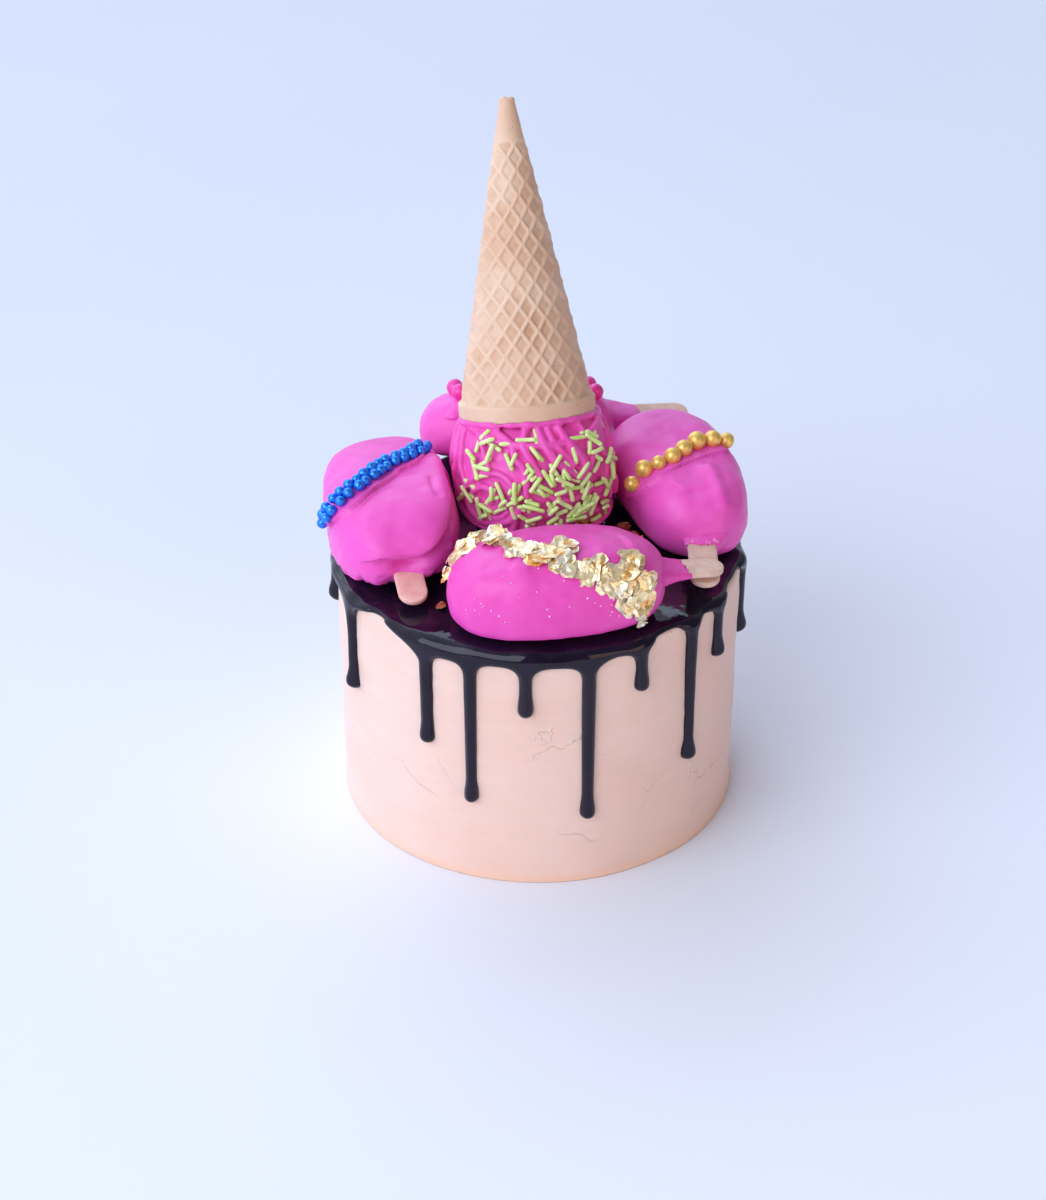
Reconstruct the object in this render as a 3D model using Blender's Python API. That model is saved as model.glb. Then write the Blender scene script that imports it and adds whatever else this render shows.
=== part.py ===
# A small celebration cake: a buttercream drum, a dark chocolate pool with drips, four coated ice-cream
# bars on sticks lying on it, and a ball of piped pink chocolate wearing an upside-down wafer cone.
# Metres, +Z up, origin at the centre of the cake's base, front towards -Y.
import math
import random

import bmesh
import bpy
from mathutils import Matrix, Vector

for old in list(bpy.data.objects):
    bpy.data.objects.remove(old, do_unlink=True)

GAP = 0.0003                 # clearance between neighbouring pieces

CAKE_R = 0.0715              # buttercream drum
CAKE_H = 0.0943
CAKE_TOP_ROUND = 0.0016
CAKE_FOOT_ROUND = 0.0008

POOL_Z = 0.0964              # top of the chocolate
SKIRT_T = 0.0018             # how far the chocolate stands off the drum's side
RIM_ROUND = 0.0038
STEM_HALF = 0.0022           # half width of a drip
BEAD_HALF = 0.0028           # half width of its rounded end

BALL_R = 0.0280
BALL_AT = Vector((-0.0013, 0.0110, 0.1206))
STRAND_R = 0.0015

CONE_RIM_AT = Vector((-0.0037, 0.0150, 0.1398))
CONE_TIP_AT = Vector((-0.0106, 0.0488, 0.2430))
CONE_RIM_R = 0.0239
CONE_BAND = 0.0058           # plain band at the cone's mouth
CONE_BODY_R = 0.0229         # where the lattice begins
CONE_TIP_R = 0.0026
CONE_PLAIN_TIP = 0.0165
LATTICE_W = 0.0060           # one diamond of the wafer's net
LATTICE_H = 0.0083
LATTICE_DEEP = 0.00060
MOULD_TURN = math.radians(-6.0)

STICK_W = 0.0100
STICK_T = 0.0022

# A coated bar: where its base centre is, heading of its long axis, half length, half width, height,
# roll about the long axis, pitch of the long axis, and how square its plan is (2 is an ellipse).
BARS = {
    "front": dict(at=(0.0058, -0.0492), turn=8.0, a=0.0366, b=0.0222, h=0.0268, roll=-2.0, pitch=1.5, lift=0.0,
                  corner=2.4),
    "left": dict(at=(-0.0512, 0.0008), turn=98.5, a=0.0385, b=0.0230, h=0.0278, roll=-5.0, pitch=-1.5, lift=0.0,
                 corner=2.9),
    "right": dict(at=(0.0512, 0.0210), turn=104.0, a=0.0378, b=0.0208, h=0.0262, roll=-1.0, pitch=5.0, lift=0.0,
                  corner=2.4),
    "back": dict(at=(-0.0073, 0.0565), turn=4.0, a=0.0366, b=0.0205, h=0.0245, roll=-22.0, pitch=0.0, lift=0.0003,
                 corner=2.4),
}
# radius and height of a bar's side from the foot to the crown, as shares of its plan and height
SIDE = ((0.80, 0.0), (0.925, 0.06), (0.985, 0.18), (1.0, 0.34), (0.985, 0.52), (0.93, 0.69), (0.83, 0.83),
        (0.66, 0.93), (0.40, 0.985))


def material(name, colour, rough, metal=0.0):
    mat = bpy.data.materials.new(name)
    mat.use_nodes = True
    shader = mat.node_tree.nodes["Principled BSDF"]
    shader.inputs["Base Color"].default_value = (*colour, 1.0)
    shader.inputs["Roughness"].default_value = rough
    shader.inputs["Metallic"].default_value = metal
    return mat


def solid(name, verts, faces, mat, smooth=True):
    mesh = bpy.data.meshes.new(name)
    mesh.from_pydata([tuple(v) for v in verts], [], faces)
    bm = bmesh.new()
    bm.from_mesh(mesh)
    bmesh.ops.remove_doubles(bm, verts=bm.verts, dist=1e-6)
    bmesh.ops.recalc_face_normals(bm, faces=bm.faces)
    if bm.calc_volume(signed=True) < 0:
        bmesh.ops.reverse_faces(bm, faces=bm.faces)
    bm.to_mesh(mesh)
    bm.free()
    for face in mesh.polygons:
        face.use_smooth = smooth
    mesh.materials.append(mat)
    made = bpy.data.objects.new(name, mesh)
    bpy.context.scene.collection.objects.link(made)
    return made


def loft(name, rings, mat):
    # closed skin through rings of equal length, each end closed by its centre
    verts = [v for ring in rings for v in ring]
    n = len(rings[0])
    faces = []
    for j in range(len(rings) - 1):
        for i in range(n):
            k = (i + 1) % n
            faces.append((j * n + i, j * n + k, (j + 1) * n + k, (j + 1) * n + i))
    for j, base in ((0, 0), (len(rings) - 1, (len(rings) - 1) * n)):
        verts.append(sum((Vector(v) for v in rings[j]), Vector()) / n)
        for i in range(n):
            faces.append((len(verts) - 1, base + i, base + (i + 1) % n))
    return solid(name, verts, faces, mat)


def apply_modifiers(target):
    bpy.context.view_layer.update()
    graph = bpy.context.evaluated_depsgraph_get()
    mesh = bpy.data.meshes.new_from_object(target.evaluated_get(graph), depsgraph=graph)
    target.modifiers.clear()
    target.data = mesh


def join_all(target, pieces, solver="EXACT"):
    group = bpy.data.collections.new(target.name + "_toppings")
    bpy.context.scene.collection.children.link(group)
    for piece in pieces:
        bpy.context.scene.collection.objects.unlink(piece)
        group.objects.link(piece)
    cut = target.modifiers.new("fuse", "BOOLEAN")
    cut.operation = "UNION"
    cut.solver = solver
    cut.operand_type = "COLLECTION"
    cut.collection = group
    apply_modifiers(target)
    for piece in pieces:
        bpy.data.objects.remove(piece, do_unlink=True)
    bpy.data.collections.remove(group)


def carve(target, tool, solver="EXACT"):
    cut = target.modifiers.new("carve", "BOOLEAN")
    cut.operation = "DIFFERENCE"
    cut.solver = solver
    cut.object = tool
    apply_modifiers(target)
    bpy.data.objects.remove(tool, do_unlink=True)


def clean(target):
    # keeps the main body only, so no loose scrap or sealed hollow is left
    bm = bmesh.new()
    bm.from_mesh(target.data)
    bmesh.ops.remove_doubles(bm, verts=bm.verts, dist=1e-7)
    left = set(bm.faces)
    shells = []
    while left:
        stack = [left.pop()]
        shell = set(stack)
        while stack:
            for edge in stack.pop().edges:
                for face in edge.link_faces:
                    if face in left:
                        left.discard(face)
                        shell.add(face)
                        stack.append(face)
        shells.append(shell)
    shells.sort(key=len, reverse=True)
    for shell in shells[1:]:
        bmesh.ops.delete(bm, geom=list(shell), context="FACES")
    bmesh.ops.triangulate(bm, faces=bm.faces)
    bm.to_mesh(target.data)
    bm.free()


def turned(angle, radius, z):
    # angle from the front, positive to the right
    return Vector((radius * math.sin(angle), -radius * math.cos(angle), z))


# ---------------------------------------------------------------- cake
buttercream = material("cake", (0.86, 0.60, 0.47), 0.55)
SEGMENTS = 72
cake_side = [(CAKE_R - 0.0008, 0.0)]
cake_side.append((CAKE_R, CAKE_FOOT_ROUND))
for step in range(4):
    bend = math.radians(30.0 * step)
    cake_side.append((CAKE_R - CAKE_TOP_ROUND * (1 - math.cos(bend)),
                      CAKE_H - CAKE_TOP_ROUND * (1 - math.sin(bend))))
cake = loft("cake", [[turned(2 * math.pi * i / SEGMENTS, r, z) for i in range(SEGMENTS)]
                     for r, z in cake_side], buttercream)

# ---------------------------------------------------------------- chocolate pool, skirt and drips
chocolate = material("ganache", (0.012, 0.009, 0.014), 0.16)
# the drips in front, as angle from the front and height of the lowest point
drips = [(-88.0, 0.0745), (-64.0, 0.0559), (-32.2, 0.0526), (-19.0, 0.0326), (-3.8, 0.0698),
         (13.3, 0.0269), (28.5, 0.0750), (46.0, 0.0380), (58.5, 0.0726), (84.5, 0.0634)]
# the highest point of the skirt's edge after each of them
arches = [0.0900, 0.0934, 0.0885, 0.0892, 0.0891, 0.0908, 0.0936, 0.0930, 0.0936, 0.0925]
rng = random.Random(11)
angle = 84.5
for step in range(12):
    angle += 18.0 + rng.uniform(-2.4, 2.4)
    if angle > 360.0 - 88.0 - 11.0:
        break
    drips.append((angle, rng.uniform(0.030, 0.078)))
    arches.append(rng.uniform(0.0882, 0.0932))
DRIP_IN = CAKE_R + GAP + 0.00012

columns = []                 # angle and height of the skirt's edge, all the way round
for k, (deg, low) in enumerate(drips):
    here = math.radians(deg)
    after = math.radians(drips[(k + 1) % len(drips)][0])
    if k == len(drips) - 1:
        after += 2 * math.pi
    half = STEM_HALF / CAKE_R
    span = after - here - 2 * half
    rise = min(0.45 * span * CAKE_R, 0.0085)
    columns.append((here, arches[k - 1] - 0.4 * rise - 0.4 * min(rise, 0.008) - 0.0010))
    steps = 6 if span * CAKE_R > 0.017 else 5
    for i in range(steps):
        s = math.sin(math.radians(-90 + 180 * i / (steps - 1)))
        edge = arches[k] - rise * (1 - (1 - abs(s) ** 2.2) ** (1 / 2.2))
        columns.append((here + half + span * 0.5 * (1 + s), edge))

skirt_rings = []
rim_r = CAKE_R + GAP + SKIRT_T
for at, edge in columns:
    ring = []
    top = POOL_Z - 0.0003
    deep = min(RIM_ROUND, (top - edge) * 0.75)
    for bend in (15, 60):
        c = math.radians(bend)
        ring.append(turned(at, rim_r - RIM_ROUND * (1 - math.sin(c)), top - deep * (1 - math.cos(c))))
    ring.append(turned(at, rim_r - 0.0002, edge + 0.0006))
    ring.append(turned(at, DRIP_IN, edge + 0.0004))
    ring.append(turned(at, DRIP_IN, CAKE_H + GAP))
    skirt_rings.append(ring)
verts = []
faces = []
per = len(skirt_rings[0])
for ring in skirt_rings:
    verts.extend(ring)
count = len(skirt_rings)
for i in range(count):
    j = (i + 1) % count
    for m in range(per - 1):
        faces.append((i * per + m, j * per + m, j * per + m + 1, i * per + m + 1))
verts.append(Vector((0, 0, POOL_Z)))
verts.append(Vector((0, 0, CAKE_H + GAP)))
for i in range(count):
    j = (i + 1) % count
    faces.append((i * per, j * per, len(verts) - 2))
    faces.append((i * per + per - 1, j * per + per - 1, len(verts) - 1))
ganache = solid("ganache", verts, faces, chocolate)

stems = []
for k, (deg, low) in enumerate(drips):
    at = math.radians(deg)
    high = min(arches[k], arches[k - 1]) - 0.0004
    long = high - low
    # half width, stand-off and height down the drip: a flare, a stem, a bead and its round end
    stations = [(STEM_HALF * 1.55, 0.0016, high), (STEM_HALF, 0.0021, high - min(0.009, long * 0.45)),
                (BEAD_HALF * 0.96, 0.0027, low + 0.0048), (BEAD_HALF * 0.92, 0.0028, low + 0.0020),
                (BEAD_HALF * 0.45, 0.0014, low + 0.0002)]
    rings = []
    for wide, thick, z in stations:
        ring = []
        for i in range(5):
            c = math.radians(180 * i / 4)
            off = -wide * math.cos(c)
            # the stem's back lies a hair off the drum
            ring.append(turned(at + off / CAKE_R, DRIP_IN + 0.0002 + thick * math.sin(c), z))
        rings.append(ring)
    stems.append(loft("drip", rings, chocolate))
join_all(ganache, stems)
clean(ganache)


# ---------------------------------------------------------------- coated bars on sticks
def bar_frame(bar):
    rot = (Matrix.Rotation(math.radians(bar["turn"]), 4, "Z")
           @ Matrix.Rotation(-math.radians(bar["pitch"]), 4, "Y")
           @ Matrix.Rotation(math.radians(bar["roll"]), 4, "X"))
    low = 1.0
    for i in range(72):
        u, v = outline(2 * math.pi * i / 72, bar)
        for share, rise in SIDE:
            low = min(low, (rot @ Vector((u * share, v * share, rise * bar["h"]))).z)
    foot = POOL_Z + GAP + bar["lift"] - low
    return Matrix.Translation((bar["at"][0], bar["at"][1], foot)) @ rot


def outline(t, bar):
    c = math.cos(t)
    s = math.sin(t)
    k = (abs(c) ** bar["corner"] + abs(s) ** bar["corner"]) ** (-1 / bar["corner"])
    return bar["a"] * c * k, bar["b"] * s * k


def on_bar(bar, u, v, out=0.0):
    # point on a bar's upper skin over plan position u, v, moved out along the skin's normal
    def height(x, y):
        share = (abs(x / bar["a"]) ** bar["corner"] + abs(y / bar["b"]) ** bar["corner"]) ** (1 / bar["corner"])
        share = min(share, 0.998)
        top = [(1.0, 0.34)] + [p for p in SIDE if p[1] > 0.34] + [(0.0, 1.0)]
        for (r0, z0), (r1, z1) in zip(top, top[1:]):
            if share >= r1:
                return (z0 + (z1 - z0) * (r0 - share) / (r0 - r1)) * bar["h"]
        return bar["h"]
    e = 0.0006
    slope_u = (height(u + e, v) - height(u - e, v)) / (2 * e)
    slope_v = (height(u, v + e) - height(u, v - e)) / (2 * e)
    normal = Vector((-slope_u, -slope_v, 1.0)).normalized()
    frame = bar_frame(bar)
    return frame @ (Vector((u, v, height(u, v))) + normal * out), (frame.to_3x3() @ normal).normalized()


def bar_body(name, bar, mat, around):
    frame = bar_frame(bar)
    rings = []
    for share, rise in SIDE:
        ring = []
        for i in range(around):
            u, v = outline(2 * math.pi * i / around, bar)
            ring.append(frame @ Vector((u * share, v * share, rise * bar["h"])))
        rings.append(ring)
    made = loft(name, rings, mat)
    # the crown's middle is a little higher than its last ring
    made.data.vertices[len(made.data.vertices) - 1].co = frame @ Vector((0, 0, bar["h"]))
    return made


def stick_body(name, start, end, tilt, grow, mat):
    # flat wooden stick from start to end with round ends, tilted about its length
    run = (end - start).normalized()
    side = run.cross(Vector((0, 0, 1))).normalized()
    side = (Matrix.Rotation(tilt, 3, run) @ side).normalized()
    up = side.cross(run)
    half = STICK_W / 2 + grow
    thick = STICK_T / 2 + grow
    rim = []
    for centre, first in ((start, 90), (end, -90)):
        for i in range(7):
            c = math.radians(first + 180 * i / 6)
            rim.append(centre + run * half * math.cos(c) + side * half * math.sin(c))
    return loft(name, [[p - up * thick for p in rim], [p + up * thick for p in rim]], mat)


def ball(at, radius, around, up, mat):
    rings = []
    for j in range(1, up):
        c = math.pi * j / up
        rings.append([at + Vector((radius * math.sin(c) * math.cos(2 * math.pi * i / around),
                                   radius * math.sin(c) * math.sin(2 * math.pi * i / around),
                                   radius * math.cos(c))) for i in range(around)])
    made = loft("ball", rings, mat)
    n = len(made.data.vertices)
    made.data.vertices[n - 2].co = at + Vector((0, 0, radius))
    made.data.vertices[n - 1].co = at - Vector((0, 0, radius))
    return made


def ribbon(points, wide, sides, mat):
    # a round cord through points, pointed at both ends
    rings = []
    for i, p in enumerate(points):
        ahead = points[min(i + 1, len(points) - 1)]
        behind = points[max(i - 1, 0)]
        run = (ahead - behind).normalized()
        a = run.orthogonal().normalized()
        if rings:
            a = (last - run * last.dot(run)).normalized()
        last = a
        b = run.cross(a)
        r = wide * (0.45 if i in (0, len(points) - 1) else 1.0)
        rings.append([p + (a * math.cos(2 * math.pi * s / sides) + b * math.sin(2 * math.pi * s / sides)) * r
                      for s in range(sides)])
    return loft("ribbon", rings, mat)


pink = material("pop_coat", (0.80, 0.10, 0.45), 0.35)
wood = material("stick_wood", (0.78, 0.55, 0.40), 0.7)


def bar_point(bar, u, v, w):
    return bar_frame(bar) @ Vector((u, v, w))


def neck(bar, sign, start, end, wide, mat):
    # the coat drawn out along the stick's root
    run = (end - start).normalized()
    side = run.cross(Vector((0, 0, 1))).normalized()
    up = side.cross(run)
    rings = []
    for t, w, h in wide:
        c = start + (end - start) * t
        ring = []
        for i in range(12):
            x = math.cos(2 * math.pi * i / 12)
            y = math.sin(2 * math.pi * i / 12)
            # a flat oval, squarer than an ellipse, so the stick's corners stay covered
            k = (abs(x) ** 4 + abs(y) ** 4) ** -0.25
            ring.append(c + side * w * x * k + up * h * y * k)
        rings.append(ring)
    return loft("neck", rings, mat)


# front bar: a diagonal trail of crumpled leaf, and a stick with a coated root on the right
front = BARS["front"]
pop_front = bar_body("pop_front", front, pink, 26)
front_root = bar_point(front, front["a"] - 0.016, 0.0, front["h"] * 0.46)
front_tip = Vector((0.0575, -0.0378, 0.1080))
toppings = [neck(front, 1, bar_point(front, front["a"] - 0.008, 0, front["h"] * 0.46),
                 front_tip + (front_root - front_tip).normalized() * 0.0085,
                 ((0.0, 0.0105, 0.0075), (0.4, 0.0078, 0.0040), (1.0, 0.0062, 0.0023)),
                 pink)]
rng = random.Random(8)
leaf = material("leaf", (0.85, 0.62, 0.30), 0.35, 1.0)
trail = [(-0.0330, 0.0050), (-0.0265, 0.0085), (-0.0180, 0.0050), (-0.0125, -0.0040), (-0.0050, -0.0105),
         (0.0030, -0.0145), (0.0105, -0.0178), (0.0180, -0.0170), (0.0250, -0.0130), (0.0270, -0.0175)]
for i in range(24):
    place = (len(trail) - 1) * (i + 0.5) / 24
    k = int(place)
    u = trail[k][0] + (trail[k + 1][0] - trail[k][0]) * (place - k) + rng.uniform(-0.0016, 0.0016)
    v = trail[k][1] + (trail[k + 1][1] - trail[k][1]) * (place - k) + rng.uniform(-0.0030, 0.0030)
    at, up = on_bar(front, u, v, 0.0)
    side = up.orthogonal().normalized()
    side = (Matrix.Rotation(rng.uniform(0, 6.28), 3, up) @ side).normalized()
    up = (up + 0.35 * Vector((rng.uniform(-1, 1), rng.uniform(-1, 1), 0))).normalized()
    side = (side - up * side.dot(up)).normalized()
    across = up.cross(side)
    size = rng.uniform(0.0024, 0.0042)
    rim = []
    for k in range(5):
        c = 2 * math.pi * k / 5
        r = size * rng.uniform(0.65, 1.15)
        rim.append(side * r * math.cos(c) + across * r * math.sin(c))
    toppings.append(loft("flake", [[at - up * 0.0012 + p * 0.8 for p in rim],
                                   [at + up * 0.0009 + p for p in rim]], leaf))
join_all(pop_front, toppings)
carve(pop_front, stick_body("slot", front_root, front_tip, 0.0, GAP, wood))
clean(pop_front)
pop_front_stick = stick_body("pop_front_stick", front_root, front_tip, 0.0, 0.0, wood)

# left bar: a band of coating across it with a double row of small pearls
left = BARS["left"]
pop_left = bar_body("pop_left", left, pink, 24)
toppings = []


def left_row(v):
    # where the pearls run along the left bar, for a place across it
    return -0.0055 - 0.62 * v + 14.4 * v * v


band = []
for i in range(9):
    v = left["b"] * (0.95 - 1.66 * i / 8)
    band.append(on_bar(left, max(left_row(v) - 0.0042, -0.0150), v, -0.0006)[0])
toppings.append(ribbon(band, 0.0030, 6, pink))
for row in range(2):
    for i in range(13):
        v = left["b"] * (0.98 - 1.68 * (i + 0.5 * row) / 12.5)
        at, up = on_bar(left, max(left_row(v) - 0.0018, -0.0128) + 0.0036 * row, v, 0.0028)
        toppings.append(ball(at, 0.0020, 6, 4, pink))
left_root = bar_point(left, 0.018 - left["a"], -0.0010, left["h"] * 0.33)
left_tip = Vector((-0.0428, -0.0420, 0.1010))
toppings.append(neck(left, 1, bar_point(left, 0.008 - left["a"], -0.0010, left["h"] * 0.33),
                     left_tip + (left_root - left_tip).normalized() * 0.0185,
                     ((0.0, 0.0095, 0.0060), (0.6, 0.0070, 0.0034), (1.0, 0.0062, 0.0023)), pink))
join_all(pop_left, toppings)
carve(pop_left, stick_body("slot", left_root, left_tip, 0.0, GAP, wood))
clean(pop_left)
pop_left_stick = stick_body("pop_left_stick", left_root, left_tip, 0.0, 0.0, wood)

# right bar: a band across it with one row of large pearls
right = BARS["right"]
pop_right = bar_body("pop_right", right, pink, 24)
toppings = []
band = []
for i in range(9):
    v = right["b"] * (0.95 - 1.70 * i / 8)
    band.append(on_bar(right, -0.0090 - 0.33 * v, v, -0.0004)[0])
toppings.append(ribbon(band, 0.0026, 6, pink))
for i in range(8):
    v = right["b"] * (0.97 - 1.70 * i / 7)
    at, up = on_bar(right, -0.0058 - 0.33 * v, v, 0.0030)
    toppings.append(ball(at, 0.0030 + 0.0004 * math.sin(2.2 * i), 8, 5, pink))
right_root = bar_point(right, 0.018 - right["a"], 0.0, right["h"] * 0.40)
right_tip = Vector((0.0566, -0.0355, 0.1030))
toppings.append(neck(right, 1, bar_point(right, 0.008 - right["a"], 0.0, right["h"] * 0.40),
                     right_tip + (right_root - right_tip).normalized() * 0.0180,
                     ((0.0, 0.0095, 0.0062), (0.6, 0.0072, 0.0036), (1.0, 0.0062, 0.0023)), pink))
join_all(pop_right, toppings)
carve(pop_right, stick_body("slot", right_root, right_tip, 0.0, GAP, wood))
clean(pop_right)
pop_right_stick = stick_body("pop_right_stick", right_root, right_tip, 0.0, 0.0, wood)

# back bar: leans on the ball, two short rows of pearls
back = BARS["back"]
pop_back = bar_body("pop_back", back, pink, 22)
toppings = []
for u0, v0 in ((-0.0192, -0.0172), (0.0292, -0.0150)):
    for i in range(3):
        at, up = on_bar(back, u0 - 0.0016 * i, v0 + 0.0058 * i, 0.0022)
        toppings.append(ball(at, 0.0031, 7, 5, pink))
back_root = bar_point(back, back["a"] - 0.016, 0.0, back["h"] * 0.5)
back_tip = bar_point(back, back["a"] + 0.0225, 0.0010, back["h"] * 0.5)
toppings.append(neck(back, 1, bar_point(back, back["a"] - 0.008, 0, back["h"] * 0.5),
                     bar_point(back, back["a"] + 0.0085, 0.0005, back["h"] * 0.5),
                     ((0.0, 0.0090, 0.0050), (0.5, 0.0068, 0.0031), (1.0, 0.0062, 0.0023)), pink))
join_all(pop_back, toppings)
carve(pop_back, stick_body("slot", back_root, back_tip, math.radians(back["roll"]) * 0.5, GAP, wood))
clean(pop_back)
pop_back_stick = stick_body("pop_back_stick", back_root, back_tip, math.radians(back["roll"]) * 0.5, 0.0, wood)

# ---------------------------------------------------------------- ball of piped chocolate
length = (CONE_TIP_AT - CONE_RIM_AT).length
axis = (CONE_TIP_AT - CONE_RIM_AT).normalized()
facing = Vector((0, -1, 0))
facing = (facing - axis * facing.dot(axis)).normalized()
facing = (Matrix.Rotation(-MOULD_TURN, 3, axis) @ facing).normalized()
across = axis.cross(facing).normalized()
if across.x < 0:
    across = -across

piped = material("scoop", (0.80, 0.10, 0.45), 0.35)


def on_ball(theta, phi, out=0.0):
    # theta from the front to the right, phi above the equator; fuller below, where it has settled
    c = math.cos(phi)
    s = math.sin(phi)
    full = 2.6 if s > 0 else 2.45
    k = (abs(c) ** full + abs(s) ** full) ** (-1 / full)
    r = BALL_R * k * (1.0 + 0.015 * math.sin(theta) * (1 if s < 0 else -1)) + out
    return BALL_AT + Vector((r * math.sin(theta) * c, -r * math.cos(theta) * c, r * s))


rings = []
for j in range(1, 12):
    phi = math.radians(-90 + 180 * j / 12)
    rings.append([on_ball(2 * math.pi * i / 24, phi) for i in range(24)])
rings = [[Vector((p.x, p.y, max(p.z, POOL_Z + GAP))) for p in ring] for ring in rings if ring[0].z > POOL_Z - 0.004]
scoop = loft("scoop", rings, piped)
toppings = []
# strands: loops on the left, slanting cords at the upper right
loops = [(-46, -8, 24, 20), (-30, -32, 20, 10), (150, -5, 28, 22), (-125, -5, 26, 24)]
for theta0, phi0, wide, tall in loops:
    path = []
    for i in range(8):
        c = 2 * math.pi * (i / 7) * 0.86
        path.append(on_ball(math.radians(theta0 + wide * math.cos(c)), math.radians(phi0 + tall * math.sin(c)),
                            -0.0005))
    toppings.append(ribbon(path, STRAND_R, 5, piped))
for start, end in (((2, 24), (38, -4)), ((14, 26), (44, 4)), ((-34, 26), (6, -6)), ((-66, 22), (-74, -24)),
                   ((95, 22), (88, -24))):
    path = []
    for i in range(5):
        t = i / 4
        path.append(on_ball(math.radians(start[0] + (end[0] - start[0]) * t),
                            math.radians(start[1] + (end[1] - start[1]) * t - 4 * math.sin(math.pi * t)), -0.0004))
    toppings.append(ribbon(path, STRAND_R, 5, piped))
join_all(scoop, toppings)
# sprinkles, thickest low on the right of the front
rng = random.Random(23)
toppings = []
placed = []
tries = 0
while len(placed) < 62 and tries < 4000:
    tries += 1
    if len(placed) < 42:
        theta = math.radians(rng.gauss(16, 24))
        phi = math.radians(rng.gauss(-17, 12))
    elif len(placed) < 52:
        theta = math.radians(rng.gauss(48, 10))
        phi = math.radians(rng.gauss(20, 7))
    else:
        theta = rng.uniform(-math.pi, math.pi)
        phi = math.radians(rng.uniform(-38, 22))
    at = on_ball(theta, phi, 0.0004)
    if at.z < POOL_Z + 0.0030 or phi > math.radians(26):
        continue
    if any((at - other).length < 0.0030 for other in placed):
        continue
    placed.append(at)
    out = (at - BALL_AT).normalized()
    run = (Matrix.Rotation(rng.uniform(0, 6.28), 3, out) @ out.orthogonal().normalized()).normalized()
    half = rng.uniform(0.0022, 0.0034)
    side = out.cross(run)
    rings = []
    for t in (-0.88, 0.88):
        rings.append([at + run * half * t + (side * math.cos(math.pi * s / 2)
                      + out * math.sin(math.pi * s / 2)) * 0.00078 for s in range(4)])
    grain = loft("sprinkle", rings, piped)
    for v, t in zip(grain.data.vertices[8:], (-1.0, 1.0)):
        v.co = at + run * half * t
    toppings.append(grain)
join_all(scoop, toppings)
# the cone's mouth sits on a flat seat, square to the cone
seat = []
for r_seat, rise in ((0.045, 0.0), (0.045, 0.030)):
    seat.append([CONE_RIM_AT + axis * (rise - GAP) + (across * math.cos(math.pi * i / 4)
                 + facing * math.sin(math.pi * i / 4)) * r_seat for i in range(8)])
carve(scoop, loft("seat", seat, piped))
clean(scoop)

# ---------------------------------------------------------------- wafer cone, mouth down on the ball
wafer = material("cone", (0.76, 0.52, 0.33), 0.6)
def cone_radius(s):
    t = (s - CONE_BAND) / (length - CONE_BAND)
    return CONE_BODY_R + (CONE_TIP_R - CONE_BODY_R) * t


# the net is pressed by two mould halves, so it is flat in each half's own view: u across, s along
low = CONE_BAND
high = length - CONE_PLAIN_TIP
flat = bmesh.new()
crest = flat.verts.layers.float.new("crest")
nodes = {}


def net_vert(u, s, lift):
    key = (round(u, 6), round(s, 6))
    if key not in nodes:
        v = flat.verts.new((u, s, 0.0))
        v[crest] = lift
        nodes[key] = v
    return nodes[key]


for m in range(-1, 22):
    for n in range(-6, 7):
        cu = 0.0012 + LATTICE_W * n + (LATTICE_W / 2 if m % 2 == 0 else 0.0)
        cs = low + LATTICE_H * 0.5 * (m + 1)
        if abs(cu) - LATTICE_W / 2 > cone_radius(cs - LATTICE_H / 2) or cs - LATTICE_H / 2 > high:
            continue
        corners = [(LATTICE_W / 2, 0), (0, LATTICE_H / 2), (-LATTICE_W / 2, 0), (0, -LATTICE_H / 2)]
        outer = [net_vert(cu + du, cs + ds, 1.0) for du, ds in corners]
        middle = net_vert(cu, cs, 0.0)
        for i in range(4):
            flat.faces.new((outer[i], outer[(i + 1) % 4], middle))


def cut(point, normal):
    whole = list(flat.verts) + list(flat.edges) + list(flat.faces)
    bmesh.ops.bisect_plane(flat, geom=whole, dist=1e-7, plane_co=point, plane_no=normal, clear_outer=True)


cut((0, low, 0), (0, -1, 0))
cut((0, high, 0), (0, 1, 0))
fall = (cone_radius(high) - cone_radius(low)) / (high - low)
cut((cone_radius(low), low, 0), (1, -fall, 0))
cut((-cone_radius(low), low, 0), (-1, -fall, 0))
bmesh.ops.remove_doubles(flat, verts=flat.verts, dist=0.0002)
flat.verts.ensure_lookup_table()
cone_bm = bmesh.new()
for half in (1, -1):
    fresh = {}
    for v in flat.verts:
        u = v.co.x
        s = v.co.y
        r = cone_radius(s)
        turn = math.asin(max(-1.0, min(1.0, u / r)))
        inside = low + 0.0001 < s < high - 0.0001
        edge = (v.is_boundary and inside) or abs(u) > r - 0.0003
        if edge:
            turn = math.copysign(math.pi / 2, u)
        lift = v[crest]
        if edge or s < low + 1e-6 or s > high - 1e-6:
            lift = 1.0
        radius = r - LATTICE_DEEP * (1.0 - lift)
        p = (CONE_RIM_AT + axis * s + across * radius * math.sin(turn)
             + facing * radius * math.cos(turn) * half)
        fresh[v] = cone_bm.verts.new(p)
    for f in flat.faces:
        loop = [fresh[v] for v in f.verts]
        cone_bm.faces.new(loop if half == 1 else loop[::-1])
flat.free()
bmesh.ops.remove_doubles(cone_bm, verts=cone_bm.verts, dist=0.00005)
bmesh.ops.dissolve_degenerate(cone_bm, edges=cone_bm.edges, dist=0.00005)


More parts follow.
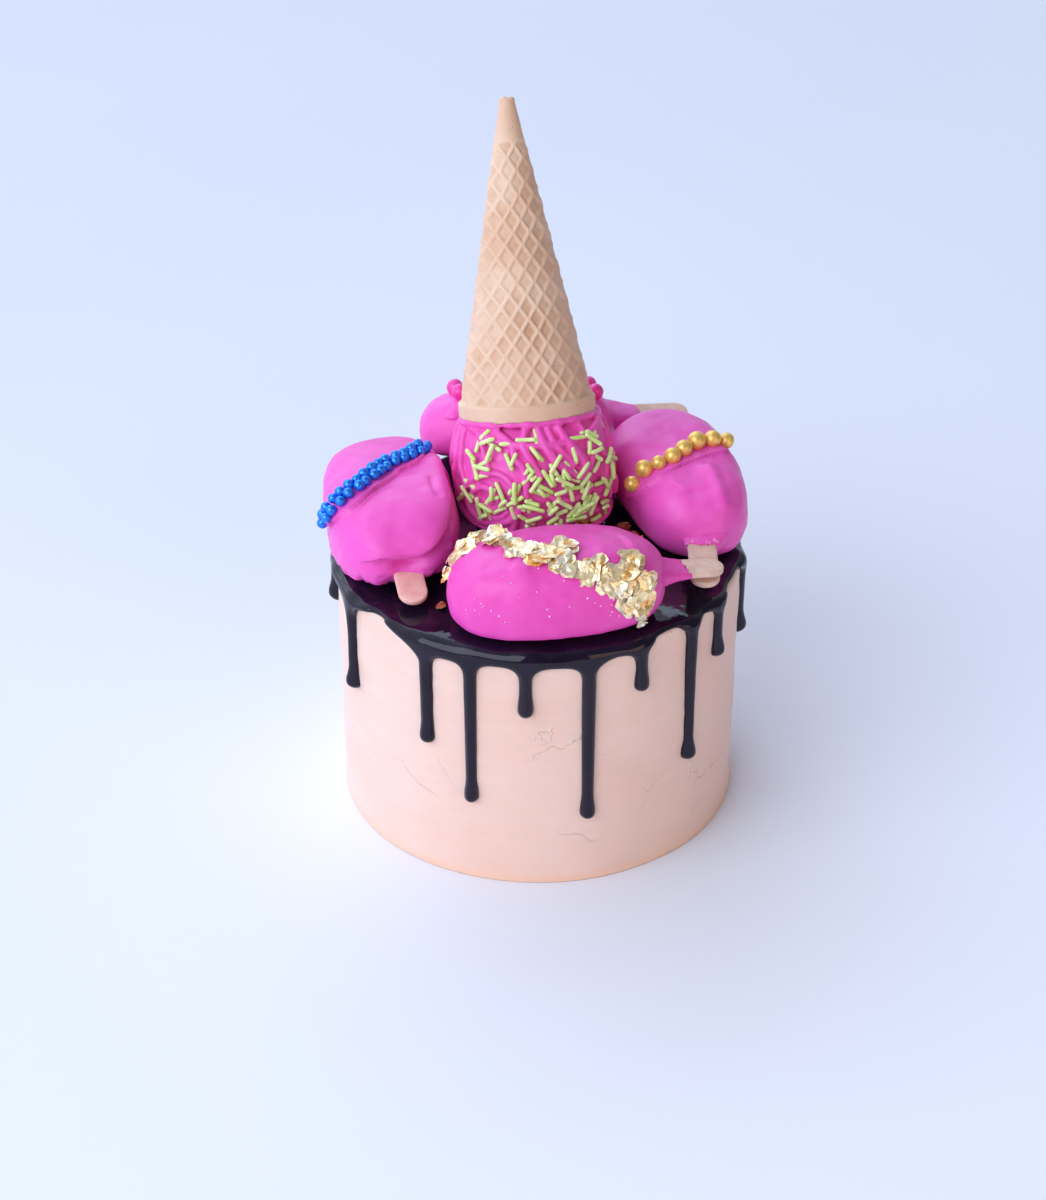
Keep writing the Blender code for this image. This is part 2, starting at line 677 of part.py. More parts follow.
def swept_end(edges, stations):
    # carries an open edge on through rings given as distance along the cone and radius
    for s, r in stations:
        made = bmesh.ops.extrude_edge_only(cone_bm, edges=edges)["geom"]
        edges = [g for g in made if isinstance(g, bmesh.types.BMEdge)]
        for v in (g for g in made if isinstance(g, bmesh.types.BMVert)):
            d = v.co - CONE_RIM_AT
            d -= axis * d.dot(axis)
            v.co = CONE_RIM_AT + axis * s + d.normalized() * r
    return edges


def along(edge):
    return sum((v.co - CONE_RIM_AT).dot(axis) for v in edge.verts) / 2


rim_edges = [e for e in cone_bm.edges if e.is_boundary and along(e) < low + 0.001]
tip_edges = [e for e in cone_bm.edges if e.is_boundary and along(e) > high - 0.001]
rim_edges = swept_end(rim_edges, [(CONE_BAND - 0.0006, CONE_RIM_R - 0.0003), (0.0003, CONE_RIM_R),
                                  (0.0, CONE_RIM_R - 0.0004)])
tip_edges = swept_end(tip_edges, [(length - 0.0006, CONE_TIP_R), (length, CONE_TIP_R - 0.0007)])
for edges in (rim_edges, tip_edges):
    bmesh.ops.edgeloop_fill(cone_bm, edges=edges)
bmesh.ops.triangulate(cone_bm, faces=cone_bm.faces)
bmesh.ops.recalc_face_normals(cone_bm, faces=cone_bm.faces)
if cone_bm.calc_volume(signed=True) < 0:
    bmesh.ops.reverse_faces(cone_bm, faces=cone_bm.faces)
cone_mesh = bpy.data.meshes.new("cone")
cone_bm.to_mesh(cone_mesh)
cone_bm.free()
cone_mesh.materials.append(wafer)
cone = bpy.data.objects.new("cone", cone_mesh)
bpy.context.scene.collection.objects.link(cone)
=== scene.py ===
import math
import random

import bpy
import numpy as np
from mathutils import Matrix, Vector, kdtree
from mathutils.bvhtree import BVHTree


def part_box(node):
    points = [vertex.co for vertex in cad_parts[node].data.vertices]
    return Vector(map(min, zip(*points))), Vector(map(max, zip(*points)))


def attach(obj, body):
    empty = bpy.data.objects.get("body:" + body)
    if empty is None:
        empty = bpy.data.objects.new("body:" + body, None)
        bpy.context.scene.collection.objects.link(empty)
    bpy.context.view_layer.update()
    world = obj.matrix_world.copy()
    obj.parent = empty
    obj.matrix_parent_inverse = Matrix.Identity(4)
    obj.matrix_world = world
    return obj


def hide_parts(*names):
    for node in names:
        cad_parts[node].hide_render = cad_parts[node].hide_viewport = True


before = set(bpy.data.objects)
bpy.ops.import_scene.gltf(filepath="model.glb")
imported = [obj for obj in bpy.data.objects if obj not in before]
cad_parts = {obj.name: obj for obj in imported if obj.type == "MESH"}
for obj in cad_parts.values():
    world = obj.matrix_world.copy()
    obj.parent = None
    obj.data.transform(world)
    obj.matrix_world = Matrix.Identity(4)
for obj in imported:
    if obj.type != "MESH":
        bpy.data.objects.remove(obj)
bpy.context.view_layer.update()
MM = 0.001

# ---------------------------------------------------------------- drum of buttercream
# The filled sponge is hidden under a coat of peach buttercream. It was pulled smooth with a scraper as it
# turned, which leaves long level streaks, shallow waves and hairline cracks where it had begun to set.
drum_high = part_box("cake")[1]
DRUM_R = drum_high.x
DRUM_H = drum_high.z
DRUM_AROUND = 400
DRUM_ROWS = 110
TOP_ROUND = 1.6 * MM         # rounding of the drum's top edge
DRUM_WAVE = 0.26 * MM
DRUM_STREAK = 0.05 * MM


def waves(points, size, seed, count=12):
    # smooth unevenness between about -1 and 1, with bumps of about that size
    draw = np.random.default_rng(seed)
    ways = draw.normal(size=(count, 3))
    ways *= (2 * math.pi / size * draw.uniform(0.6, 1.5, count) / np.linalg.norm(ways, axis=1))[:, None]
    return np.sin(points @ ways.T + draw.uniform(0, 2 * math.pi, count)).sum(axis=-1) / math.sqrt(count) * 0.7


def piece_of(name, points, faces, mat, smooth=True):
    mesh = bpy.data.meshes.new(name)
    mesh.from_pydata(np.asarray(points, float).reshape(-1, 3).tolist(), [], [tuple(f) for f in faces])
    if smooth:
        mesh.shade_smooth()
    mesh.materials.append(mat)
    piece = bpy.data.objects.new(name, mesh)
    bpy.context.scene.collection.objects.link(piece)
    return piece


def grid_faces(rings, around, first=0):
    # quads between rings that close on themselves
    number = np.arange(rings * around).reshape(rings, around) + first
    ahead = np.roll(number, -1, axis=1)
    return np.stack([number[:-1], ahead[:-1], ahead[1:], number[1:]], axis=-1).reshape(-1, 4).tolist()


def fanned_faces(rings, around):
    # quads between the rings, and a fan at each end to the two points that follow the rings
    faces = grid_faces(rings, around)
    last = (rings - 1) * around
    for i in range(around):
        j = (i + 1) % around
        faces.append((j, i, rings * around))
        faces.append((last + i, last + j, rings * around + 1))
    return faces


def turned_piece(name, grid, mat):
    # rings of points, from the lowest up, closed at both ends by a fan
    points = np.concatenate([grid.reshape(-1, 3), grid[:1].mean(axis=1), grid[-1:].mean(axis=1)])
    return piece_of(name, points, fanned_faces(*grid.shape[:2]), mat)


def shader(name, colour, rough, **sockets):
    mat = bpy.data.materials.new(name)
    mat.use_nodes = True
    body = mat.node_tree.nodes["Principled BSDF"]
    body.inputs["Base Color"].default_value = (*colour, 1.0)
    body.inputs["Roughness"].default_value = rough
    for socket, value in sockets.items():
        body.inputs[socket.replace("_", " ")].default_value = value
    return mat


def add(mat, kind, **sockets):
    made = mat.node_tree.nodes.new("ShaderNode" + kind)
    for socket, value in sockets.items():
        made.inputs[socket.replace("_", " ")].default_value = value
    return made


def wire(mat, out, into):
    mat.node_tree.links.new(out, into)


def place(mat, stretch=(1.0, 1.0, 1.0)):
    # a point of the object in metres, stretched
    spot = add(mat, "TexCoord")
    scaled = add(mat, "Mapping", Scale=stretch)
    wire(mat, spot.outputs["Object"], scaled.inputs["Vector"])
    return scaled.outputs["Vector"]


def mottle(mat, size, detail=3.0, stretch=(1.0, 1.0, 1.0), rough=0.5):
    # cloudy noise whose blots are about that many metres across
    cloud = add(mat, "TexNoise", Scale=1.0 / size, Detail=detail, Roughness=rough)
    wire(mat, place(mat, stretch), cloud.inputs["Vector"])
    return cloud.outputs["Fac"]


def between(mat, share, low, high, first, second):
    # two colours mixed where share runs from low to high
    scale = add(mat, "MapRange", From_Min=low, From_Max=high)
    wire(mat, share, scale.inputs["Value"])
    mix = add(mat, "Mix")
    mix.data_type = "RGBA"
    wire(mat, scale.outputs["Result"], mix.inputs["Factor"])
    for colour, socket in ((first, 6), (second, 7)):
        if hasattr(colour, "is_linked"):
            wire(mat, colour, mix.inputs[socket])
        else:
            mix.inputs[socket].default_value = (*colour, 1.0)
    return mix.outputs[2]


def relief(mat, height, deep, under=None):
    # bump from a height between 0 and 1, that many metres deep
    bump = add(mat, "Bump", Strength=1.0, Distance=deep)
    wire(mat, height, bump.inputs["Height"])
    if under is not None:
        wire(mat, under, bump.inputs["Normal"])
    return bump.outputs["Normal"]


def finish_with(mat, colour=None, rough=None, normal=None):
    body = mat.node_tree.nodes["Principled BSDF"]
    for out, socket in ((colour, "Base Color"), (rough, "Roughness"), (normal, "Normal")):
        if out is not None:
            wire(mat, out, body.inputs[socket])
    return mat


def numbers_between(mat, share, low, high, first, second):
    scale = add(mat, "MapRange", From_Min=low, From_Max=high, To_Min=first, To_Max=second)
    wire(mat, share, scale.inputs["Value"])
    return scale.outputs["Result"]


angles = 2 * math.pi * np.arange(DRUM_AROUND) / DRUM_AROUND
# radius and height from the foot up: a slight bulge, the wall, and the rounded top edge
profile = [(DRUM_R - 0.5 * MM, 0.0), (DRUM_R + 0.12 * MM, 0.25 * MM), (DRUM_R + 0.20 * MM, 0.9 * MM)]
profile += [(DRUM_R, z) for z in np.linspace(1.8 * MM, DRUM_H - 2.0 * MM, DRUM_ROWS)]
for bend in np.radians([20, 45, 70, 90]):
    profile.append((DRUM_R - TOP_ROUND * (1 - math.cos(bend)), DRUM_H - TOP_ROUND * (1 - math.sin(bend))))
profile.append((DRUM_R * 0.6, DRUM_H))
profile = np.array(profile)
drum = np.zeros((len(profile), DRUM_AROUND, 3))
drum[..., 0] = profile[:, :1] * np.sin(angles)
drum[..., 1] = -profile[:, :1] * np.cos(angles)
drum[..., 2] = profile[:, 1:]
side = (drum[..., 2] < DRUM_H - 1.0 * MM).astype(float) * np.clip(drum[..., 2] / (1.5 * MM), 0.25, 1.0)
swell = DRUM_WAVE * waves(drum, 46 * MM, 3) + 0.10 * MM * waves(drum * (1, 1, 1.8), 16 * MM, 4)
swell += DRUM_STREAK * waves(drum * (1, 1, 9), 40 * MM, 5) + 0.03 * MM * waves(drum * (1, 1, 14), 30 * MM, 6)
drum[..., :2] *= 1 + (side * swell / DRUM_R)[..., None]

buttercream = shader("buttercream", (0.90, 0.60, 0.48), 0.5, Subsurface_Weight=0.35,
                     Subsurface_Radius=(1.0, 0.45, 0.25), Subsurface_Scale=4 * MM, Specular_IOR_Level=0.5)
soft = between(buttercream, mottle(buttercream, 30 * MM, 2.0), 0.35, 0.65,
               (0.88, 0.590, 0.485), (0.90, 0.625, 0.530))
streaks = mottle(buttercream, 34 * MM, 4.0, (1.0, 1.0, 12.0))
soft = between(buttercream, streaks, 0.45, 1.6, soft, (0.94, 0.70, 0.62))
# painted glow: the lowest 4.5 mm turn more orange, standing in for warm light bounced up onto the foot
height = add(buttercream, "SeparateXYZ")
wire(buttercream, place(buttercream), height.inputs["Vector"])
soft = between(buttercream, height.outputs["Z"], 0.0, 4.5 * MM, (0.97, 0.58, 0.42), soft)
tiny = relief(buttercream, mottle(buttercream, 1.4 * MM, 3.0), 0.06 * MM)
level = relief(buttercream, mottle(buttercream, 12 * MM, 3.0, (1.0, 1.0, 10.0)), 0.08 * MM, tiny)
# hairline cracks: the edges of large bent cells, in a few places only
bend = add(buttercream, "TexNoise", Scale=1.0 / (11 * MM), Detail=3.0)
wire(buttercream, place(buttercream), bend.inputs["Vector"])
bent = add(buttercream, "VectorMath")
bent.operation = "MULTIPLY_ADD"
bent.inputs[1].default_value = (18 * MM, 18 * MM, 18 * MM)
wire(buttercream, bend.outputs["Color"], bent.inputs[0])
wire(buttercream, place(buttercream), bent.inputs[2])
cells = add(buttercream, "TexVoronoi", Scale=1.0 / (34 * MM))
cells.feature = "DISTANCE_TO_EDGE"
wire(buttercream, bent.outputs["Vector"], cells.inputs["Vector"])
crack = add(buttercream, "Math")
crack.operation = "MULTIPLY"
at_edge = numbers_between(buttercream, cells.outputs["Distance"], 0.002, 0.010, 1.0, 0.0)
in_patch = numbers_between(buttercream, mottle(buttercream, 42 * MM, 1.0), 0.54, 0.60, 0.0, 1.0)
wire(buttercream, at_edge, crack.inputs[0])
wire(buttercream, in_patch, crack.inputs[1])
level = relief(buttercream, crack.outputs["Value"], 0.30 * MM, level)
soft = between(buttercream, crack.outputs["Value"], 0.0, 1.0, soft, (0.98, 0.74, 0.62))
finish_with(buttercream, soft, numbers_between(buttercream, streaks, 0.3, 0.7, 0.42, 0.56), level)

cake = turned_piece("buttercream_drum", drum, buttercream)
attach(cake, "root")
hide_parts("cake")

# ---------------------------------------------------------------- dark chocolate glaze
# Warm chocolate glaze was poured on top and pushed over the edge, where it ran down in separate drips and set
# with a round bead at each end. It is one skin: a pool, a rounded rim, a skirt with arches and the drips.
pool_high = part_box("ganache")[1]
POOL_Z = pool_high.z
SKIRT_T = 2.1 * MM
RIM_ROUND = 3.6 * MM
STEM_HALF = 2.1 * MM
BEAD_HALF = 2.75 * MM
EDGE_ROUND = 2.6 * MM
UNDER_Z = DRUM_H - 0.6 * MM
BACK_Y = -0.9 * MM           # how far the skin reaches into the buttercream
# each drip in front: angle from the front, and the height of its lowest point
drips = [(-88.0, 74.5), (-64.0, 55.9), (-32.2, 52.6), (-19.0, 32.6), (-3.8, 69.8),
         (13.3, 26.9), (28.5, 75.0), (46.0, 38.0), (58.5, 72.6), (84.5, 63.4)]
# the top of the arch after each drip, and how far its crown leans towards the next drip
arches = [(90.0, 0.0), (93.4, -0.75), (88.5, 0.0), (89.2, 0.0), (89.1, 0.0),
          (90.8, 0.5), (93.6, 0.2), (93.0, 0.2), (93.6, 0.0), (92.5, 0.0)]
draw = random.Random(11)
turn = 84.5
for step in range(12):
    turn += 18.0 + draw.uniform(-2.4, 2.4)
    if turn > 360.0 - 88.0 - 11.0:
        break
    drips.append((turn, draw.uniform(0.030, 0.078) / MM))
    arches.append((draw.uniform(0.0882, 0.0932) / MM, 0.0))
ROUND = 2 * math.pi * DRUM_R
drip_s = np.array([math.radians(deg) * DRUM_R for deg, low in drips])
drip_low = np.array([low * MM for deg, low in drips])
draw = np.random.default_rng(4)
stem_half = STEM_HALF * draw.uniform(0.90, 1.10, len(drips))
bead_half = BEAD_HALF * draw.uniform(0.94, 1.06, len(drips))


def ease(x, low, high):
    t = np.clip((x - low) / (high - low), 0, 1)
    return t * t * (3 - 2 * t)


def stem_width(k, z):
    # half width of a drip: a bead below, a slimmer stem, and a flare under the skirt
    up = z - (drip_low[k] + bead_half[k])
    neck = ease(up, 0, 7.5 * MM)
    return bead_half[k] + (stem_half[k] - bead_half[k]) * neck + 0.4 * MM * np.clip(up / (50 * MM), 0, 1)


outline = []
for k in range(len(drips)):
    after = (k + 1) % len(drips)
    s0 = drip_s[k]
    s1 = drip_s[after] + (ROUND if after == 0 else 0.0)
    top, lean = arches[k][0] * MM, arches[k][1]
    gap = s1 - s0 - stem_half[k] - stem_half[after]
    full = 2.3 if abs(lean) > 0.6 else 3.0
    rise = min(0.5 * gap, 9.0 * MM if abs(lean) > 0.6 else 7.0 * MM)
    rise = min(rise, top - max(drip_low[k] + bead_half[k], drip_low[after] + bead_half[after]) - 0.5 * MM)
    for bend in np.radians(np.arange(-90, 0, 4)):
        outline.append((s0 + bead_half[k] * math.cos(bend),
                        drip_low[k] + bead_half[k] * (1 + math.sin(bend))))
    shoulder = top - rise
    for z in np.linspace(drip_low[k] + bead_half[k], shoulder, 30):
        outline.append((s0 + float(stem_width(k, z)), z))
    left = s0 + float(stem_width(k, shoulder))
    right = s1 - float(stem_width(after, shoulder))
    for bend in np.radians(np.linspace(-88, 88, 45)):
        x = math.sin(bend)
        fall = 1 - (1 - abs(x) ** full) ** (1 / full)
        lower = rise * (1 + 0.8 * abs(lean)) if x * lean < 0 else rise
        slant = lower * 0.30 * abs(lean) * abs(x) if x * lean < 0 else 0.0
        outline.append((left + (right - left) * (1 + x) / 2, top - rise * fall - slant * (1 - fall)))
    for z in np.linspace(shoulder, drip_low[after] + bead_half[after], 30):
        outline.append((s1 - float(stem_width(after, z)), z))
    for bend in np.radians(np.arange(-176, -90, 4)):
        outline.append((s1 + bead_half[after] * math.cos(bend),
                        drip_low[after] + bead_half[after] * (1 + math.sin(bend))))
outline = np.array(outline)
steps = np.linalg.norm(np.diff(outline, axis=0), axis=1)
run = np.concatenate([[0], np.cumsum(steps)])
keep = np.concatenate([[True], steps > 1e-7])
fine = np.arange(0, run[-1], 0.12 * MM)
outline = np.stack([np.interp(fine, run[keep], outline[keep, 0]),
                    np.interp(fine, run[keep], outline[keep, 1])], 1)
heading = np.gradient(outline, axis=0)
heading /= np.linalg.norm(heading, axis=1)[:, None]
inward = np.stack([-heading[:, 1], heading[:, 0]], 1)
wrapped = np.concatenate([outline, outline + (ROUND, 0), outline - (ROUND, 0)])
near = np.abs(wrapped[:, 0] - drip_s[0] - ROUND / 2) < ROUND / 2 + 12 * MM
inward = np.concatenate([inward] * 3)[near]
wrapped = wrapped[near]
tree = kdtree.KDTree(len(wrapped))
for i, (s, z) in enumerate(wrapped):
    tree.insert((s, z, 0.0), i)
tree.balance()


def inside_by(s, z):
    # how far inside the skin's outline a place on the unrolled wall is
    s = (s - drip_s[0]) % ROUND + drip_s[0]
    found = np.array([tree.find((a, b, 0.0))[1] for a, b in zip(s.ravel().tolist(), z.ravel().tolist())])
    d = (np.stack([s.ravel(), z.ravel()], 1) - wrapped[found])
    return (d * inward[found]).sum(axis=1).reshape(s.shape)


def wall_thickness(s, z):
    # thicker in the beads and down the middle of the stems than in the skirt
    away = (s[..., None] - drip_s + ROUND / 2) % ROUND - ROUND / 2
    k = np.abs(away).argmin(axis=-1)
    off = np.take_along_axis(away, k[..., None], -1)[..., 0]
    middle = np.exp(-(off / (3.6 * MM)) ** 2)
    bead = np.exp(-((z - drip_low[k] - 3.4 * MM) / (3.4 * MM)) ** 2)
    turn = s / DRUM_R
    uneven = waves(np.stack([DRUM_R * np.cos(turn), DRUM_R * np.sin(turn), z], -1), 15 * MM, 21)
    back = ease(-DRUM_R * np.cos(turn), 12 * MM, 36 * MM) * ease(z, 88 * MM, 93 * MM)
    return SKIRT_T + middle * (0.30 + 1.0 * bead) * MM + 0.20 * MM * uneven + 1.0 * MM * back


def pool_height(x, y):
    # the pool is level, and dips a little and unevenly towards its rim, with a swell over each drip
    points = np.stack([x, y, x * 0], -1)
    r = np.hypot(x, y)
    slope = np.clip((r - (DRUM_R - 11 * MM)) / (11 * MM), 0, None) ** 1.6
    slope = slope * (0.85 + 0.35 * waves(points, 13 * MM, 33))
    back = ease(y, 12 * MM, 36 * MM)
    height = (-0.22 * MM - 0.95 * MM * slope) * (1 - back) + 0.45 * MM * back * np.clip(slope, 0, 1)
    away = (np.arctan2(x, -y)[..., None] * DRUM_R - drip_s + ROUND / 2) % ROUND - ROUND / 2
    at_rim = np.clip((r - (DRUM_R - 8 * MM)) / (8 * MM), 0, 1)
    over = np.exp(-(np.abs(away).min(axis=-1) / (4.2 * MM)) ** 2) * at_rim
    height += 0.45 * MM * over
    return POOL_Z + height + 0.09 * MM * waves(points, 30 * MM, 31) + 0.05 * MM * waves(points, 10 * MM, 32)


def glaze(s, y, z, d=None):
    # above 0 inside the glaze; s runs round the buttercream's wall and y out from it, and d is
    # inside_by(s, z)
    if d is None:
        d = inside_by(s, z)
    thick = wall_thickness(s, z)
    edge = np.clip(1 - d / EDGE_ROUND, 0, None)
    shape = np.sqrt(edge ** 2 + (np.clip(y, 0, None) / thick) ** 2)
    wall = (1 - shape) * thick + np.clip(-y, 0, None) * np.clip(d / (1.5 * MM), 0, 1)
    wall = np.where(d < -2 * MM, -1.0 * MM, wall)
    turn = s / DRUM_R
    r = DRUM_R + y
    depth = pool_height(r * np.sin(turn), -r * np.cos(turn)) - z
    rounded = RIM_ROUND - np.hypot(np.clip(RIM_ROUND - depth, 0, None), np.clip(RIM_ROUND - wall, 0, None))
    return np.minimum(rounded, np.maximum(y - BACK_Y, z - UNDER_Z))


def net_skin(field, lines):
    # points and quads of the zero surface of a field on a grid whose first axis closes on itself
    counts = field.shape
    inside = field > 0
    corners = [(a, b, c) for a in (0, 1) for b in (0, 1) for c in (0, 1)]

    def at(array, a, b, c):
        return np.roll(array, -a, 0)[:, b:counts[1] - 1 + b, c:counts[2] - 1 + c]

    total = sum(at(inside, *c).astype(int) for c in corners)
    mixed = (total > 0) & (total < 8)
    cells = np.argwhere(mixed)
    values = [at(field, *c)[mixed] for c in corners]
    spot = np.zeros((len(cells), 3))
    hits = np.zeros(len(cells))
    for i, a in enumerate(corners):
        for j, b in enumerate(corners):
            if j > i and sum(abs(p - q) for p, q in zip(a, b)) == 1:
                cross = (values[i] > 0) != (values[j] > 0)
                share = values[i] / np.where(cross, values[i] - values[j], 1)
                spot += np.where(cross[:, None], np.array(a) + share[:, None] * (np.array(b) - np.array(a)),
                                 0)
                hits += cross
    spot /= hits[:, None]
    points = np.stack([np.interp(cells[:, k] + spot[:, k], np.arange(len(lines[k])), lines[k])
                       for k in range(3)], 1)
    number = np.full(mixed.shape, -1)
    number[mixed] = np.arange(len(cells))
    quads = []
    for axis in range(3):
        change = np.argwhere(inside != np.roll(inside, -1, axis))
        if axis:
            change = change[change[:, axis] < counts[axis] - 1]
        b, c = [(1, 2), (2, 0), (0, 1)][axis]
        ok = np.ones(len(change), bool)
        for k in (b, c):
            if k:
                ok &= (change[:, k] > 0) & (change[:, k] < counts[k] - 1)
        change = change[ok]
        sign = inside[tuple(change.T)]
        four = []
        for db, dc in ((-1, -1), (0, -1), (0, 0), (-1, 0)):
            cell = change.copy()
            cell[:, b] += db
            cell[:, c] += dc
            cell[:, 0] %= counts[0]
            four.append(number[tuple(cell.T)])
        four = np.stack(four, 1)
        four[~sign] = four[~sign][:, ::-1]
        quads.append(four[(four >= 0).all(axis=1)])
    return points, np.concatenate(quads), number


around = 820
s_line = drip_s[0] + ROUND * np.arange(around + 1) / around
y_line = np.arange(-2.4, 4.5, 0.4) * MM
z_line = np.arange(25.0, POOL_Z / MM + 1.8, 0.51) * MM
S, Z = np.meshgrid(s_line[:-1], z_line, indexing="ij")
D = inside_by(S, Z)
field = glaze(*np.broadcast_arrays(S[:, None, :], y_line[None, :, None], Z[:, None, :], D[:, None, :]))
points, quads, number = net_skin(field, (s_line, y_line, z_line))
for again in range(2):
    # every point is carried onto the exact surface along the field's slope
    step = 0.05 * MM
    s, y, z = points.T
    d = inside_by(s, z)
    value = glaze(s, y, z, d)
    slope = np.stack([(glaze(s + step, y, z) - value) / step, (glaze(s, y + step, z, d) - value) / step,
                      (glaze(s, y, z + step) - value) / step], 1)
    size = np.clip((slope ** 2).sum(axis=1), 0.2, None)
    move = slope * (np.clip(value, -0.4 * MM, 0.4 * MM) / size)[:, None]
    points = points - np.clip(move, -0.15 * MM, 0.15 * MM)
turn = points[:, 0] / DRUM_R
shell = np.stack([(DRUM_R + points[:, 1]) * np.sin(turn), -(DRUM_R + points[:, 1]) * np.cos(turn),
                  points[:, 2]], 1)
# the pool goes on inwards from the skin's inner rim, and a plain sheet closes it below
inner = []
same = np.arange(len(shell))
for i in range(around):
    column = number[i, 0]
    found = column[column >= 0]
    below = shell[found, 2] < (UNDER_Z + POOL_Z) / 2
    # one point above and one below in each column, so that the pool joins on without pinholes
    for group in (found[below], found[~below]):
        same[group] = group[-1]
    inner.append((found[below][-1], found[~below][-1]))
inner = np.array(inner)
faces = [list(dict.fromkeys(face)) for face in same[quads[:, ::-1]].tolist()]
faces = [face for face in faces if len(face) > 2]
points = [shell]
first = len(shell)
previous = inner[:, 1]
top_ring = shell[previous]
POOL_RINGS = (0.975, 0.94, 0.90, 0.85, 0.79, 0.72, 0.64, 0.55, 0.45, 0.34, 0.22, 0.10)
for share in POOL_RINGS:
    ring = top_ring * (share, share, 1)
    ring[:, 2] = pool_height(ring[:, 0], ring[:, 1])
    here = np.arange(around) + first
    ahead = np.roll(here, -1)
    faces += np.stack([previous, np.roll(previous, -1), ahead, here], 1).tolist()
    points.append(ring)
    first += around
    previous = here
points.append(np.array([[0, 0, float(pool_height(np.zeros(1), np.zeros(1))[0])], [0, 0, UNDER_Z]]))
for i in range(around):
    j = (i + 1) % around
    faces.append((previous[i], previous[j], first))
    faces.append((inner[j, 0], inner[i, 0], first + 1))

chocolate = shader("dark_chocolate", (0.010, 0.005, 0.015), 0.07, Specular_IOR_Level=0.34)
dark = between(chocolate, mottle(chocolate, 12 * MM, 2.0), 0.3, 0.7, (0.006, 0.003, 0.010),
               (0.013, 0.006, 0.021))
skin = relief(chocolate, mottle(chocolate, 6 * MM, 2.0), 0.16 * MM)
skin = relief(chocolate, mottle(chocolate, 1.6 * MM, 2.0), 0.010 * MM, skin)
finish_with(chocolate, dark, numbers_between(chocolate, mottle(chocolate, 9 * MM), 0.35, 0.7, 0.04, 0.11),
            skin)
pool = piece_of("chocolate_glaze", np.concatenate(points), faces, chocolate)
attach(pool, "root")
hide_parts("ganache")

# ---------------------------------------------------------------- coated ice-cream bars
# Four bars of ice cream were dipped in pink chocolate and laid on the glaze before it set. The coat is satin
# and a little lumpy: it sagged into folds, was drawn out round the sticks and crept outwards at the foot.
GAP = 0.3 * MM
COAT_AROUND = 260
STICK_HALF = 5.0 * MM        # half width and half thickness of a stick
STICK_THICK = 1.1 * MM
# in millimetres and degrees: place, heading, half length, half width, height, roll, pitch, and how square
# the plan is
BARS = {
    "front": dict(at=(5.8, -49.2), turn=8.0, a=36.6, b=22.2, h=26.8, roll=-2.0, pitch=1.5, lift=0.0,
                  corner=2.4),
    "left": dict(at=(-51.2, 0.8), turn=98.5, a=38.5, b=23.0, h=27.8, roll=-5.0, pitch=-1.5, lift=0.0,
                 corner=2.9),
    "right": dict(at=(51.2, 21.0), turn=104.0, a=37.8, b=20.8, h=26.2, roll=-1.0, pitch=5.0, lift=0.0,
                  corner=2.4),
    "back": dict(at=(-7.3, 56.5), turn=4.0, a=36.6, b=20.5, h=24.5, roll=-22.0, pitch=0.0, lift=0.3,
                 corner=2.4),
}
# the bars' side: share of the plan's outline, and share of the height
SIDE = ((0.80, 0.0), (0.925, 0.06), (0.985, 0.18), (1.0, 0.34), (0.985, 0.52), (0.93, 0.69), (0.83, 0.83),
        (0.66, 0.93), (0.40, 0.985), (0.0, 1.0))


def unit(v):
    return v / np.linalg.norm(v)


def run_along(points):
    # distance along a line of points from its start
    return np.concatenate([[0], np.cumsum(np.linalg.norm(np.diff(points, axis=0), axis=1))])


def smooth_line(points, spacing):
    # an evenly stepped curve through the points
    points = np.asarray(points, float)
    ends = np.concatenate([[2 * points[0] - points[1]], points, [2 * points[-1] - points[-2]]])
    t = np.linspace(0, 1, 24, endpoint=False)[:, None]
    made = []
    for a, b, c, d in zip(ends, ends[1:], ends[2:], ends[3:]):
        made.append(0.5 * (2 * b + (c - a) * t + (2 * a - 5 * b + 4 * c - d) * t ** 2
                           + (3 * b - a - 3 * c + d) * t ** 3))
    made = np.concatenate(made + [points[-1:]])
    far = run_along(made)
    at = np.linspace(0, far[-1], max(2, int(far[-1] / spacing) + 1))
    return np.stack([np.interp(at, far, made[:, k]) for k in range(points.shape[1])], 1)


side_line = smooth_line(SIDE, 0.012)


def plan(bar, t):
    c, s = np.cos(t), np.sin(t)
    k = (np.abs(c) ** bar["corner"] + np.abs(s) ** bar["corner"]) ** (-1 / bar["corner"])
    return bar["a"] * MM * c * k, bar["b"] * MM * s * k


for bar in BARS.values():
    spin = (Matrix.Rotation(math.radians(bar["turn"]), 3, "Z") @ Matrix.Rotation(-math.radians(bar["pitch"]),
                                                                                 3, "Y")
            @ Matrix.Rotation(math.radians(bar["roll"]), 3, "X"))
    bar["spin"] = np.array(spin)
    u, v = plan(bar, 2 * math.pi * np.arange(72) / 72)
    lowest = min((np.stack([u * share, v * share, u * 0 + rise * bar["h"] * MM], 1) @ bar["spin"].T)[:,
                                                                                                     2].min()
                 for share, rise in SIDE)
    bar["spot"] = np.array([bar["at"][0] * MM, bar["at"][1] * MM, POOL_Z + GAP + bar["lift"] * MM - lowest])


def from_bar(bar, points):
    return np.asarray(points) @ bar["spin"].T + bar["spot"]


def crown(bar, u, v):
    # height of a bar's upper skin over a place of its plan
    share = ((np.abs(u) / bar["a"] / MM) ** bar["corner"] + (np.abs(v) / bar["b"] / MM) ** bar["corner"])
    share = share ** (1 / bar["corner"])
    upper = side_line[side_line[:, 0].argmax():][::-1]
    return np.interp(share, upper[:, 0], upper[:, 1]) * bar["h"] * MM


